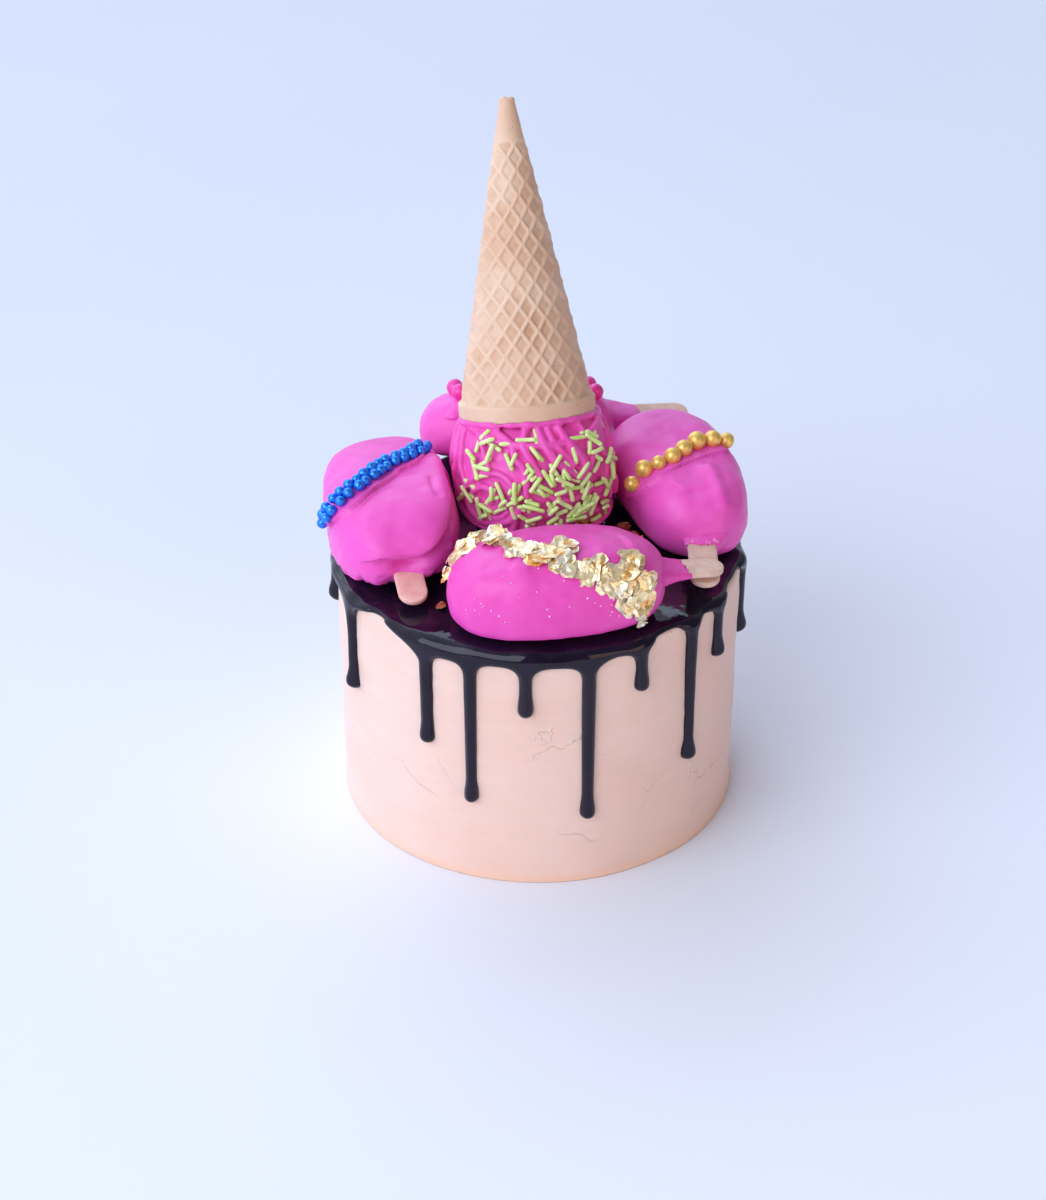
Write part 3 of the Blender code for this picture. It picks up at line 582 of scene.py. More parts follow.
def on_bar(bar, u, v, out=0.0):
    # points over places of the plan, and the skin's direction there
    e = 0.6 * MM
    slope = np.array([crown(bar, u - e, v) - crown(bar, u + e, v),
                      crown(bar, u, v - e) - crown(bar, u, v + e)])
    normal = np.array([slope[0] / (2 * e), slope[1] / (2 * e), 1.0])
    normal /= np.linalg.norm(normal)
    return from_bar(bar, np.array([u, v, crown(bar, u, v)]) + normal * out), bar["spin"] @ normal


def skin_normals(grid):
    n = np.cross(np.roll(grid, -1, 1) - np.roll(grid, 1, 1), np.gradient(grid, axis=0))
    return n / np.maximum(np.linalg.norm(n, axis=-1, keepdims=True), 1e-12)


def by_curve(grid, normals, curve):
    # distance from a curve given in millimetres, above 0 on its left, and the share of its length
    line = smooth_line(np.asarray(curve) * MM, 0.5 * MM)
    heading = np.gradient(line, axis=0)
    flat = grid.reshape(-1, 3)
    apart = (flat ** 2).sum(1)[:, None] + (line ** 2).sum(1) - 2 * flat @ line.T
    near = apart.argmin(1)
    off = flat - line[near]
    left = (np.cross(heading[near], off) * normals.reshape(-1, 3)).sum(1)
    away = np.sqrt((off ** 2).sum(1)) * np.where(left > 0, 1, -1)
    return away.reshape(grid.shape[:2]), (near / (len(line) - 1)).reshape(grid.shape[:2])


def fold(grid, normals, curve, high, reach, left=True, soft=0.8, fade=(0.1, 0.1), groove=0.0):
    # the coat steps up at a curve, and the step dies away over its reach; all in millimetres
    away, share = by_curve(grid, normals, curve)
    away = away / MM * (1 if left else -1)
    step = ease(away, -soft / 2, soft / 2) * np.exp(-(np.clip(away, 0, None) / reach) ** 2)
    ends = ease(share, 0, fade[0]) * ease(1 - share, 0, fade[1])
    lump = high * step - groove * np.exp(-((away + soft * 0.6) / (soft * 0.8)) ** 2)
    return lump * ends * MM


def ridge(grid, normals, curve, high, wide, fade=(0.15, 0.15)):
    # a soft ridge along a curve, or a hollow where it is below 0; all in millimetres
    away, share = by_curve(grid, normals, curve)
    ends = ease(share, 0, fade[0]) * ease(1 - share, 0, fade[1])
    return high * np.exp(-(away / MM / wide) ** 2) * ends * MM


def coat_of(bar, seed, lump, foot):
    # the plain skin of a bar in its own frame, with the lumps that any dipped coat has
    u, v = plan(bar, 2 * math.pi * np.arange(COAT_AROUND) / COAT_AROUND)
    share, rise = side_line[:-1, 0], side_line[:-1, 1]
    grid = np.stack([share[:, None] * u, share[:, None] * v, rise[:, None] * bar["h"] * MM + u * 0], -1)
    normals = skin_normals(grid)
    uneven = lump * MM * waves(grid, 17 * MM, seed) + 0.4 * lump * MM * waves(grid, 7 * MM, seed + 1)
    # the foot crept outwards in a thin, uneven edge
    low = np.exp(-(grid[..., 2] / (1.1 * MM)) ** 2)
    creep = foot * MM * low * (1 + 0.7 * waves(grid, 6 * MM, seed + 2) + 0.3 * waves(grid, 2.5 * MM,
                                                                                     seed + 3))
    grid = grid + normals * uneven[..., None] * ease(grid[..., 2], 0, 3 * MM)[..., None]
    grid[..., :2] += normals[..., :2] * creep[..., None]
    return grid, normals


def pink_coat(name, colour, blush, grain):
    mat = shader(name, colour, 0.40, Specular_IOR_Level=0.46, Subsurface_Weight=0.12,
                 Subsurface_Radius=(1.0, 0.25, 0.5), Subsurface_Scale=2 * MM)
    cloud = between(mat, mottle(mat, 14 * MM, 3.0), 0.35, 0.7, colour, blush)
    tiny = relief(mat, mottle(mat, 0.9 * MM, 2.0), grain * MM)
    skin = relief(mat, mottle(mat, 5 * MM, 3.0), 0.16 * MM, tiny)
    return finish_with(mat, cloud, numbers_between(mat, mottle(mat, 6 * MM), 0.3, 0.7, 0.33, 0.50), skin)


pink = pink_coat("pink_coating", (0.86, 0.088, 0.51), (0.90, 0.120, 0.56), 0.02)
deep_pink = pink_coat("deep_pink_coating", (0.81, 0.062, 0.43), (0.87, 0.090, 0.50), 0.02)


def tube(points, wide, sides=12):
    # a round cord through points in metres, with rounded ends; wide is its radius at each point
    points = np.asarray(points)
    wide = np.broadcast_to(np.asarray(wide, float), (len(points),))
    heading = np.gradient(points, axis=0)
    heading /= np.linalg.norm(heading, axis=1)[:, None]
    a = np.cross(heading[0], (0.3, 0.2, 0.9))
    rings = []
    t = 2 * math.pi * np.arange(sides) / sides
    for i, (p, run) in enumerate(zip(points, heading)):
        a = a - run * (a @ run)
        a /= np.linalg.norm(a)
        b = np.cross(run, a)
        around = np.cos(t)[:, None] * a + np.sin(t)[:, None] * b
        if i == 0:
            for bend in (0.15, 0.6, 1.1):
                rings.append(p - run * wide[0] * math.cos(bend) + around * wide[0] * math.sin(bend))
        rings.append(p + around * wide[i])
        if i == len(points) - 1:
            for bend in (1.1, 0.6, 0.15):
                rings.append(p + run * wide[-1] * math.cos(bend) + around * wide[-1] * math.sin(bend))
    return np.array(rings)


def closed_rings(rings, first=0):
    # points and faces of rings closed at both ends by a single face
    count, around = rings.shape[:2]
    faces = grid_faces(count, around, first)
    faces.append([first + i for i in range(around)][::-1])
    faces.append([first + (count - 1) * around + i for i in range(around)])
    return rings.reshape(-1, 3), faces


def many(name, shapes, mat):
    # one piece from many ringed shapes
    points, faces, first = [], [], 0
    for rings in shapes:
        p, f = closed_rings(rings, first)
        points.append(p)
        faces += f
        first += len(p)
    return piece_of(name, np.concatenate(points), faces, mat)


def along_stick(start, end):
    # directions along a stick, across it and up from it
    run = unit(end - start)
    across = unit(np.cross(run, (0, 0, 1)))
    return run, across, np.cross(across, run)


def drawn_coat(start, end, stations, seed, ragged):
    # the coat drawn out along a stick: shares of the way, half widths and half thicknesses in millimetres
    run, across, up = along_stick(start, end)
    table = smooth_line(stations, 0.02)
    share = np.linspace(0, 1, 40)
    wide = np.interp(share, table[:, 0], table[:, 1]) * MM
    thick = np.interp(share, table[:, 0], table[:, 2]) * MM
    t = 2 * math.pi * np.arange(48) / 48
    k = (np.abs(np.cos(t)) ** 3.2 + np.abs(np.sin(t)) ** 3.2) ** (-1 / 3.2)
    ring = (across * (np.cos(t) * k)[:, None], up * (np.sin(t) * k)[:, None])
    rings = np.array([start + (end - start) * s + ring[0] * w + ring[1] * h for s, w,
                      h in zip(share, wide, thick)])
    torn = ragged * MM * (waves(ring[0] + ring[1], 1.2, seed) + 0.5 * waves(ring[0] + ring[1], 0.5, seed + 1))
    rings += run * (torn * (share ** 4)[:, None])[..., None]
    rings += 0.10 * MM * waves(rings, 4 * MM, seed + 2)[..., None] * (ring[0] + ring[1])
    # the end turns in on the stick
    lip = rings[-1:] * 0.97 + (start + (end - start)) * 0.03 + run * 0.15 * MM
    inner = rings[-1:] * 0.75 + end * 0.25
    return np.concatenate([rings, lip, inner])


def stick_piece(name, start, end, tilt, mat, node):
    # a flat birch stick with round ends and softened edges
    run, across, up = along_stick(start, end)
    across, up = across * math.cos(tilt) + up * math.sin(tilt), up * math.cos(tilt) - across * math.sin(tilt)
    rim = []
    for centre, first in ((start, 90), (end, -90)):
        other = end if centre is start else start
        for bend in np.radians(first + np.linspace(0, 180, 25)):
            rim.append((np.array([math.cos(bend), math.sin(bend)]), centre))
        for s in np.linspace(0, 1, 24)[1:-1]:
            rim.append((np.array([0.0, -1.0 if first == 90 else 1.0]), centre + (other - centre) * s))
    rings = []
    for inset, rise in ((2.2, -1.0), (0.45, -1.0), (0.14, -0.87), (0.0, -0.6), (0.0, 0.6), (0.14, 0.87),
                        (0.45, 1.0), (2.2, 1.0)):
        r = STICK_HALF - inset * MM
        rings.append([c + run * r * d[0] + across * r * d[1] + up * STICK_THICK * rise for d, c in rim])
    rings = np.array(rings)
    points, faces = closed_rings(rings)
    piece = piece_of(name, points, faces, mat)
    for face in piece.data.polygons:
        if len(face.vertices) > 4:
            face.use_smooth = False
    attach(piece, "root")
    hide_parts(node)


def wood(name, dark, pale):
    mat = shader(name, dark, 0.6, Specular_IOR_Level=0.3)
    fibre = mottle(mat, 5 * MM, 4.0, rough=0.7)
    speck = mottle(mat, 1.1 * MM, 3.0)
    tone = between(mat, fibre, 0.35, 0.65, dark, pale)
    tone = between(mat, speck, 0.64, 0.76, tone, [0.8 * c for c in dark])
    return finish_with(mat, tone, None, relief(mat, speck, 0.06 * MM))


birch = wood("birch_stick", (0.70, 0.46, 0.36), (0.82, 0.59, 0.48))
pink_bounce_birch = wood("pink_bounce_stick", (0.90, 0.44, 0.38), (0.97, 0.60, 0.52))      # painted pink, standing in for pink light bounced from the coat onto the wood


def bar_point(bar, u, v, w):
    # a place in a bar's own frame, in millimetres
    return from_bar(bar, np.array((u, v, w)) * MM)


def dressed_bar(name, bar, grid, push, normals, collar, mat):
    # the finished skin with its drawn-out coat, standing for the whole CAD bar
    grid = grid + normals * push[..., None]
    world = from_bar(bar, grid)
    rings, around = world.shape[:2]
    points = [world.reshape(-1, 3), from_bar(bar, [[0, 0, 0], [0, 0, bar["h"] * MM + push[-1].mean()]])]
    more, extra = closed_rings(collar, rings * around + 2)
    piece = piece_of(name + "_coat", np.concatenate(points + [more]), fanned_faces(rings, around) + extra,
                     mat)
    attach(piece, "root")
    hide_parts(name)


# front bar: plainest of the four, with a stick on the right that is coated half way out
front = BARS["front"]
grid, normals = coat_of(front, 41, 0.30, 0.8)
push = ridge(grid, normals, [(-15.8, -11.0, 25.1), (-13.4, -12.7, 25.0), (-10.1, -12.9, 25.1)], 0.5, 2.2)
push += ridge(grid, normals, [(22.0, -2.0, 24.8), (31.0, 1.0, 21.0), (36.0, 1.0, 14.0)], 0.9, 5.0)
front_root = bar_point(front, front["a"] - 16.0, 0.0, front["h"] * 0.46)
front_tip = np.array([57.5, -37.8, 108.0]) * MM
reach = unit(front_root - front_tip)
collar = drawn_coat(bar_point(front, front["a"] - 10.0, 0.0, front["h"] * 0.46), front_tip + reach * 8.5 * MM,
                    ((0.0, 12.0, 10.0), (0.2, 10.2, 7.4), (0.38, 8.4, 4.8), (0.6, 6.9, 3.0), (0.8, 6.2, 2.0),
                     (1.0, 5.6, 1.5)), 43, 1.6)
dressed_bar("pop_front", front, grid, push, normals, collar, deep_pink)
stick_piece("front_stick", front_root, front_tip, 0.0, birch, "pop_front_stick")

# left bar: a thick tongue of coat hangs over its near end, and a lip stands in front of the pearls
left = BARS["left"]
grid, normals = coat_of(left, 51, 0.32, 1.2)
tongue = [(7.9, -14.7, 25.9), (4.7, -18.0, 23.8), (-8.0, -18.5, 23.4), (-21.8, -17.7, 21.2),
          (-30.0, -15.9, 17.6), (-36.1, -11.0, 13.9), (-38.0, -5.0, 11.7), (-38.2, 0.5, 11.6),
          (-37.8, 5.7, 13.1), (-36.4, 10.5, 12.1), (-34.4, 14.0, 10.4)]
push = fold(grid, normals, tongue, 3.0, 8.0, False, 0.6, (0.08, 0.12), 1.4)
push += ridge(grid, normals, [(p[0], p[1] + 1.0, p[2] + 2.0) for p in tongue], 0.4, 2.0, (0.15, 0.3))
push += ridge(grid, normals, [(p[0], p[1] - 0.8, p[2] - 2.7) for p in tongue], -1.3, 2.0, (0.25, 0.1))
push += ridge(grid, normals, [(-11.6, -14.2, 25.9), (-18.7, -14.3, 24.8), (-23.9, -15.5, 23.0)], -0.7, 1.1)
push += ridge(grid, normals, [(-19.1, -18.7, 21.2), (-26.0, -18.4, 17.0), (-30.5, -17.6, 11.7)], 0.7, 1.6)
lip = [(-16.0, 21.7, 15.9), (-21.0, 18.3, 20.7), (-21.9, 12.0, 25.2), (-18.6, 7.3, 26.6), (-10.6, -1.1, 29.6),
       (-5.4, -6.0, 30.5), (-1.7, -11.1, 28.9), (6.7, -16.9, 24.6), (7.4, -18.9, 23.1)]
push += fold(grid, normals, lip, 1.6, 6.0, True, 0.4, (0.03, 0.03), 1.1)
push += ridge(grid, normals, [(p[0] - 0.5, p[1], p[2]) for p in lip], 1.0, 0.8, (0.05, 0.05))
# the coat swells under the rear row of the blue pearls
blue_rear = [(8.4, -14.2, 29.6), (4.0, -10.0, 31.2), (1.0, -6.4, 31.5), (-2.6, 0.4, 31.7), (-8.3, 5.8, 31.5),
             (-12.6, 11.4, 30.7), (-15.4, 17.2, 28.4), (-16.2, 22.7, 23.6), (-13.0, 24.6, 19.0)]
push += ridge(grid, normals, [(u, 0.94 * v, w - 3.2) for u, v, w in blue_rear], 1.9, 2.1, (0.06, 0.06))
# a notch in the foot bares the root of the stick
push -= 4.0 * MM * np.exp(-((grid - np.array((-38.5, -1.5, 8.5)) * MM) ** 2).sum(-1) / (5.0 * MM) ** 2)
for spot in ((-31.6, -15.2, 16.2), (-31.1, -17.3, 9.4)):
    push += 0.8 * MM * np.exp(-(((grid - np.array(spot) * MM) ** 2).sum(-1)) / (1.0 * MM) ** 2)
ragged = waves(grid, 7 * MM, 57) + 0.6 * waves(grid, 3 * MM, 58)
push += 0.7 * MM * ragged * np.exp(-((grid[..., 2] - 2 * MM) / (3 * MM)) ** 2)
left_root = bar_point(left, 18.0 - left["a"], -1.0, left["h"] * 0.33)
left_tip = np.array([-42.8, -42.0, 101.0]) * MM
reach = unit(left_root - left_tip)
collar = drawn_coat(bar_point(left, 8.0 - left["a"], -1.0, left["h"] * 0.33), left_tip + reach * 20.0 * MM,
                    ((0.0, 7.0, 4.0), (0.4, 6.6, 3.4), (0.7, 6.2, 2.6), (1.0, 5.5, 1.6)), 53, 1.4)
dressed_bar("pop_left", left, grid, push, normals, collar, pink)
stick_piece("left_stick", left_root, left_tip, 0.0, pink_bounce_birch, "pop_left_stick")

# right bar: a soft keel runs down its near end to the stick, with a thin lip in front of the pearls
right = BARS["right"]
grid, normals = coat_of(right, 61, 0.28, 0.5)
lip = [(-4.3, 20.6, 10.0), (-10.8, 19.6, 14.9), (-15.7, 16.6, 22.2), (-14.8, 9.9, 25.2),
       (-11.7, 0.9, 26.4), (-9.2, -5.8, 26.7), (-7.2, -11.6, 25.8), (-5.4, -15.7, 22.7)]
push = fold(grid, normals, lip, 1.1, 5.0, True, 0.4, (0.03, 0.04), 0.5)
push += ridge(grid, normals, [(u - 0.5, v, w) for u, v, w in lip], 0.6, 0.7, (0.05, 0.05))
push += fold(grid, normals, [(-17.1, 11.6, 24.0), (-20.7, 9.0, 24.2), (-24.7, 5.9, 23.8)], 0.5, 3.0, True,
             0.4, (0.3, 0.5), 0.15)
push += ridge(grid, normals,
              [(-12.2, -4.5, 25.8), (-21.1, -5.0, 24.7), (-29.8, -5.3, 22.0), (-34.6, -4.7, 18.1)], 1.3, 2.6)
push += ridge(grid, normals, [(-24.0, 4.0, 24.0), (-32.0, 4.0, 19.0), (-37.0, 2.0, 13.0)], -0.9, 4.0)
# the side towards the ball swells, where the bars and the ball were pushed together
push += 5.0 * MM * np.exp(-((grid - np.array((14.0, 18.5, 15.0)) * MM) ** 2).sum(-1) / (14.0 * MM) ** 2)
right_root = bar_point(right, 18.0 - right["a"], 0.0, right["h"] * 0.40)
right_tip = np.array([56.6, -35.5, 103.0]) * MM
right_reach = unit(right_root - right_tip)
collar = drawn_coat(bar_point(right, 8.0 - right["a"], 0.0, right["h"] * 0.40),
                    right_tip + right_reach * 16.8 * MM, ((0.0, 8.0, 2.6), (0.35, 8.6, 3.0), (0.6, 7.6, 2.8),
                                                          (0.85, 6.5, 2.3), (1.0, 5.7, 1.8)), 63, 1.4)
dressed_bar("pop_right", right, grid, push, normals, collar, pink)
stick_piece("right_stick", right_root, right_tip, 0.0, birch, "pop_right_stick")

# back bar: leans on the ball, so most of it is hidden from the front
back = BARS["back"]
grid, normals = coat_of(back, 71, 0.30, 0.6)
push = fold(grid, normals, [(-27.1, -13.9, 14.5), (-24.7, -15.9, 13.9), (-22.1, -16.5, 14.5)], 0.9, 3.0, True,
            0.6, (0.2, 0.2), 0.2)
back_root = bar_point(back, back["a"] - 16.0, 0.0, back["h"] * 0.5)
back_tip = bar_point(back, back["a"] + 22.5, 1.0, back["h"] * 0.5)
collar = drawn_coat(bar_point(back, back["a"] - 8.0, 0.0, back["h"] * 0.5),
                    bar_point(back, back["a"] + 8.5, 0.5, back["h"] * 0.5),
                    ((0.0, 8.5, 5.0), (0.3, 8.0, 4.6), (0.6, 7.0, 3.4), (1.0, 5.7, 1.7)), 73, 1.0)
dressed_bar("pop_back", back, grid, push, normals, collar, pink)
stick_piece("back_stick", back_root, back_tip, math.radians(back["roll"]) * 0.5, birch, "pop_back_stick")

# ---------------------------------------------------------------- pearls
# Small sugar pearls with a pressed-on shimmer, set by hand in rows on the soft coat: two rows of little blue
# ones, one row of large gold ones and a few bright pink ones at the back. Crumbs and sugar specks go with
# them.
PEARL_STEP = 3.82            # from one blue pearl to the next, in millimetres
CRUMBS = 15
SPECKS = 46


def pearls(name, spots, mat, node, uneven=0.018, coarse=1):
    points, faces = [], []
    draw = np.random.default_rng(len(spots))
    turns = np.radians(np.arange(0, 360, 15 * coarse))
    for centre, radius in spots:
        first = sum(len(p) for p in points)
        rings = []
        for up in np.radians(np.linspace(-82, 82, 12 // coarse + 1)):
            rings.append(np.stack([np.cos(up) * np.cos(turns), np.cos(up) * np.sin(turns),
                                   turns * 0 + math.sin(up)], 1))
        rings = np.array(rings)
        rough = 1 + uneven * waves(rings, 1.1, int(draw.integers(1, 10000)))
        p, f = closed_rings(centre + rings * radius * rough[..., None], first)
        points.append(p)
        faces += f
    piece = piece_of(name, np.concatenate(points), faces, mat)
    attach(piece, "root")
    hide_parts(node)


def shimmer(name, colour, pale, metal, rough):
    mat = shader(name, colour, rough, Metallic=metal, Coat_Weight=0.2, Coat_Roughness=0.2)
    dust = between(mat, mottle(mat, 0.8 * MM, 3.0), 0.40, 0.75, colour, pale)
    return finish_with(mat, dust,
                       numbers_between(mat, mottle(mat, 1.2 * MM), 0.3, 0.7, rough - 0.06, rough + 0.10),
                       relief(mat, mottle(mat, 0.7 * MM, 2.0), 0.03 * MM))


def skin_of(piece):
    return BVHTree.FromPolygons([v.co for v in piece.data.vertices],
                                [p.vertices for p in piece.data.polygons])


# the blue rows over the left bar, in millimetres in its own frame; the front one lies in the lip's hollow
blue_front = [(10.5, -16.4, 26.8), (5.6, -14.6, 27.9), (1.4, -9.2, 29.0), (-2.2, -3.8, 29.6),
              (-7.2, 2.2, 29.6), (-13.0, 7.2, 29.1), (-16.4, 13.2, 28.0), (-18.8, 18.6, 24.6),
              (-18.0, 22.4, 20.0), (-14.2, 24.0, 16.8)]
left_skin = skin_of(bpy.data.objects["pop_left_coat"])
spots = []
draw = random.Random(5)
for row, first in ((blue_rear, 1.9), (blue_front, 0.0)):
    course = smooth_line(row, 0.1)
    run_out = run_along(course)
    for far in np.arange(first, run_out[-1], PEARL_STEP):
        here = int(np.searchsorted(run_out, far + draw.uniform(-0.3, 0.3)).clip(0, len(course) - 1))
        at = from_bar(left, (course[here] + [draw.uniform(-0.3, 0.3) for k in range(3)]) * MM)
        radius = draw.uniform(1.82, 2.0) * MM
        found, up = left_skin.find_nearest(Vector(at))[:2]
        deep = float(np.array(up) @ (at - np.array(found)))
        spots.append((at + np.array(up) * (np.clip(deep, 0.72 * radius, 0.98 * radius) - deep), radius))
pearls("blue_pearls", spots, shimmer("blue_pearl", (0.008, 0.18, 0.84), (0.04, 0.36, 1.0), 0.6, 0.20),
       "pop_left")
gold_row = [(-9.9, 21.3, 19.2, 2.95), (-9.6, 17.1, 24.8, 3.2), (-10.6, 12.1, 27.2, 2.6),
            (-9.4, 6.7, 28.4, 3.0), (-6.0, 1.5, 28.6, 3.1), (-2.2, -4.4, 28.6, 3.4), (-1.4, -10.6, 27.9, 3.1),
            (0.2, -16.4, 25.3, 2.9)]
spots = [(from_bar(right, np.array(row[:3]) * MM), row[3] * MM) for row in gold_row]
# crumbs lie across the right stick where its coat ends
crumbs = []
torn = right_tip + right_reach * 16.4 * MM
for i in range(CRUMBS):
    at = torn + np.cross(right_reach, (0, 0, 1)) * draw.uniform(-6.2, 6.2) * MM
    at = at + right_reach * draw.uniform(-0.8, 1.8) * MM + np.array((0, 0, draw.uniform(1.4, 2.1))) * MM
    crumbs.append((at, draw.uniform(0.35, 0.75) * MM))
crumb = pink_coat("crumb_coating", (0.86, 0.20, 0.55), (0.90, 0.32, 0.62), 0.05)
pearls("coat_crumbs", crumbs, crumb, "pop_right", 0.22)
dust = []
front_skin = skin_of(bpy.data.objects["pop_front_coat"])
for i in range(SPECKS):
    middle = 14.0 if i % 3 else -24.0
    at = from_bar(front, np.array((draw.gauss(middle, 9.0), draw.uniform(-22.0, -9.0),
                                   draw.uniform(7.0, 22.0))) * MM)
    found, up = front_skin.find_nearest(Vector(at))[:2]
    dust.append((np.array(found) + np.array(up) * 0.08 * MM, draw.uniform(0.18, 0.34) * MM))
sugar = shader("sugar", (0.92, 0.62, 0.80), 0.4)
finish_with(sugar, between(sugar, mottle(sugar, 2 * MM), 0.4, 0.6, (0.92, 0.55, 0.78), (0.95, 0.75, 0.88)))
pearls("sugar_specks", dust, sugar, "pop_front", 0.22, 3)
pearls("gold_pearls", spots, shimmer("gold_pearl", (0.84, 0.50, 0.09), (0.98, 0.74, 0.28), 0.45, 0.36),
       "pop_right")
spots = []
for u0, v0 in ((-19.2, -17.2), (29.2, -15.0)):
    for i in range(3):
        spots.append((on_bar(back, (u0 - 1.6 * i) * MM, (v0 + 5.8 * i) * MM, 2.2 * MM)[0], 3.1 * MM))
pearls("pink_pearls", spots, shimmer("pink_pearl", (0.90, 0.03, 0.36), (0.95, 0.10, 0.50), 0.15, 0.34),
       "pop_back")

# ---------------------------------------------------------------- ball of piped chocolate
# A ball the size of a scoop, covered with soft pink chocolate squeezed from a bag in loops and slanting
# cords. The cords sank into one another while warm, so they are one skin.
BALL_R = 28.0 * MM
BALL_AT = np.array([-1.3, 11.0, 120.6]) * MM
CONE_RIM_AT = np.array([-3.7, 15.0, 139.8]) * MM
CONE_TIP_AT = np.array([-10.6, 48.8, 243.0]) * MM
CONE_LONG = np.linalg.norm(CONE_TIP_AT - CONE_RIM_AT)
VOXEL = 0.46 * MM
axis = (CONE_TIP_AT - CONE_RIM_AT) / CONE_LONG


def on_ball(theta, phi, out=0.0):
    # theta from the front towards the right, phi above the middle, both in degrees
    theta, phi = np.radians(theta), np.radians(phi)
    c, s = np.cos(phi), np.sin(phi)
    full = np.where(s > 0, 2.6, 2.45)
    k = (np.abs(c) ** full + np.abs(s) ** full) ** (-1 / full)
    r = BALL_R * k * (1 + 0.015 * np.sin(theta) * np.where(s < 0, 1, -1)) + out
    return BALL_AT + np.stack([r * np.sin(theta) * c, -r * np.cos(theta) * c, r * s], -1)


turns = np.arange(0, 360, 5.0)
rings = np.array([on_ball(turns, np.full(len(turns), up), -0.4 * MM) for up in np.arange(-87.5, 88, 5.0)])
rings[..., 2] = np.maximum(rings[..., 2], POOL_Z + GAP)
# each cord: its half width in millimetres and its course over the ball in degrees
cords = [
    (1.5, [(-83, 35), (-74, 18), (-75, 3), (-69, -11)]),
    (1.3, [(-76, 38), (-67, 25), (-64, 15), (-57, 5)]),
    (1.5, [(-76, 40), (-48, 47), (-23, 43), (-15, 32), (-9, 28), (-6, 16), (-6, 7)]),
    (1.5, [(-58, -9), (-60, -1), (-54, 4), (-47, 12), (-38, 19), (-28, 21), (-18, 17), (-13, 8), (-14, -2)]),
    (1.6, [(-58, -9), (-53, -15), (-43, -21), (-26, -17), (-16, -12), (-11, -3)]),
    (1.3, [(-46, -10), (-39, -15), (-26, -13), (-20, -7)]),
    (1.4, [(-48, 2), (-40, 8), (-32, 8), (-26, 2), (-28, -5), (-38, -7), (-46, -4)]),
    (1.3, [(-16, -22), (-14, -14), (-13, -6)]),
    (2.0, [(2, 56), (7, 44), (15, 32), (25, 23), (34, 17), (39, 20), (38, 28), (32, 38), (27, 47), (24, 57)]),
    (1.5, [(13, 56), (17, 44), (24, 34), (30, 27)]),
    (1.6, [(-10, 54), (-10, 42), (-3, 32), (4, 22)]),
    (1.4, [(86, 32), (75, 18), (78, 0), (82, -14)]),
    (1.3, [(-66, 46), (-54, 40), (-44, 34), (-36, 24)]),
    (1.3, [(48, 54), (52, 42), (50, 30), (44, 20)]),
    (1.3, [(10, -24), (22, -16), (36, -12), (52, -14)]),
    (1.3, [(4, 12), (16, 4), (30, 2), (44, 6)]),
    (1.4, [(56, 34), (64, 20), (60, 4), (66, -10)]),
    (1.6, [(150, 16), (174, 20), (190, 4), (178, -18), (152, -24), (132, -10), (140, 8)]),
    (1.5, [(-150, 22), (-128, 24), (-104, 12), (-102, -8), (-122, -22), (-146, -16)]),
    (1.5, [(118, 30), (108, 14), (112, -4), (104, -20)]),
    (1.4, [(-96, 30), (-88, 12), (-92, -6), (-84, -20)]),
    (1.5, [(98, 44), (140, 42), (180, 44), (-140, 40), (-100, 44)]),
    (1.4, [(128, -28), (160, -30), (190, -28), (-140, -26)]),
]
shapes = [rings]
for wide, course in cords:
    course = smooth_line(course, 3.0)
    line = on_ball(course[:, 0], course[:, 1], 0.40 * MM)
    line[:, 2] = np.maximum(line[:, 2], POOL_Z + GAP + wide * MM)
    width = wide * 0.88 * MM * (1 + 0.10 * waves(line, 9 * MM, len(shapes)))
    shapes.append(tube(line, width, 12))
# what the cone's mouth squeezed out
turns = np.radians(np.arange(0, 361, 4.0))
square = unit(np.cross(axis, (1.0, 0.0, 0.0)))
squeezed = CONE_RIM_AT - axis * 0.3 * MM + 23.7 * MM * (np.cos(turns)[:, None] * np.cross(square, axis)
                                                        + np.sin(turns)[:, None] * square)
shapes.append(tube(squeezed, (1.15 + 0.55 * waves(squeezed, 7 * MM, 95)) * MM, 12))
pink_piped = pink_coat("piped_chocolate", (0.84, 0.075, 0.44), (0.89, 0.115, 0.53), 0.02)
ball = many("piped_ball", shapes, pink_piped)
remesh = ball.modifiers.new("merged", "REMESH")
remesh.mode = "VOXEL"
remesh.voxel_size = VOXEL
remesh.use_smooth_shade = True
melt = ball.modifiers.new("melted", "SMOOTH")
melt.factor = 0.5
melt.iterations = 2
bpy.context.view_layer.update()
soft = bpy.data.meshes.new_from_object(ball.evaluated_get(bpy.context.evaluated_depsgraph_get()))
ball.modifiers.clear()
ball.data = soft
points = np.empty(len(soft.vertices) * 3)
soft.vertices.foreach_get("co", points)
points = points.reshape(-1, 3)
normals = np.empty(len(soft.vertices) * 3)
soft.vertices.foreach_get("normal", normals)
uneven = 0.15 * MM * waves(points, 7 * MM, 91) + 0.07 * MM * waves(points, 3 * MM, 92)
points += normals.reshape(-1, 3) * uneven[:, None]
# flat on top, where the cone's mouth presses in
high = (points - CONE_RIM_AT) @ axis + GAP
outwards = points - CONE_RIM_AT - ((points - CONE_RIM_AT) @ axis)[:, None] * axis
from_axis = np.linalg.norm(outwards, axis=1)
round_rim = (high > 0) & (from_axis > 22.8 * MM)
points += outwards * np.where(round_rim, np.clip(24.1 * MM / from_axis - 1, 0, None), 0)[:, None]
sink = np.where(from_axis > 19.8 * MM, np.clip(high, 0, None), np.clip(high - 2.2 * MM, 0, None))
points -= np.where(round_rim, np.clip(high - 1.2 * MM, 0, None), sink)[:, None] * axis
soft.vertices.foreach_set("co", points.ravel())
soft.update()
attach(ball, "root")
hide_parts("scoop")

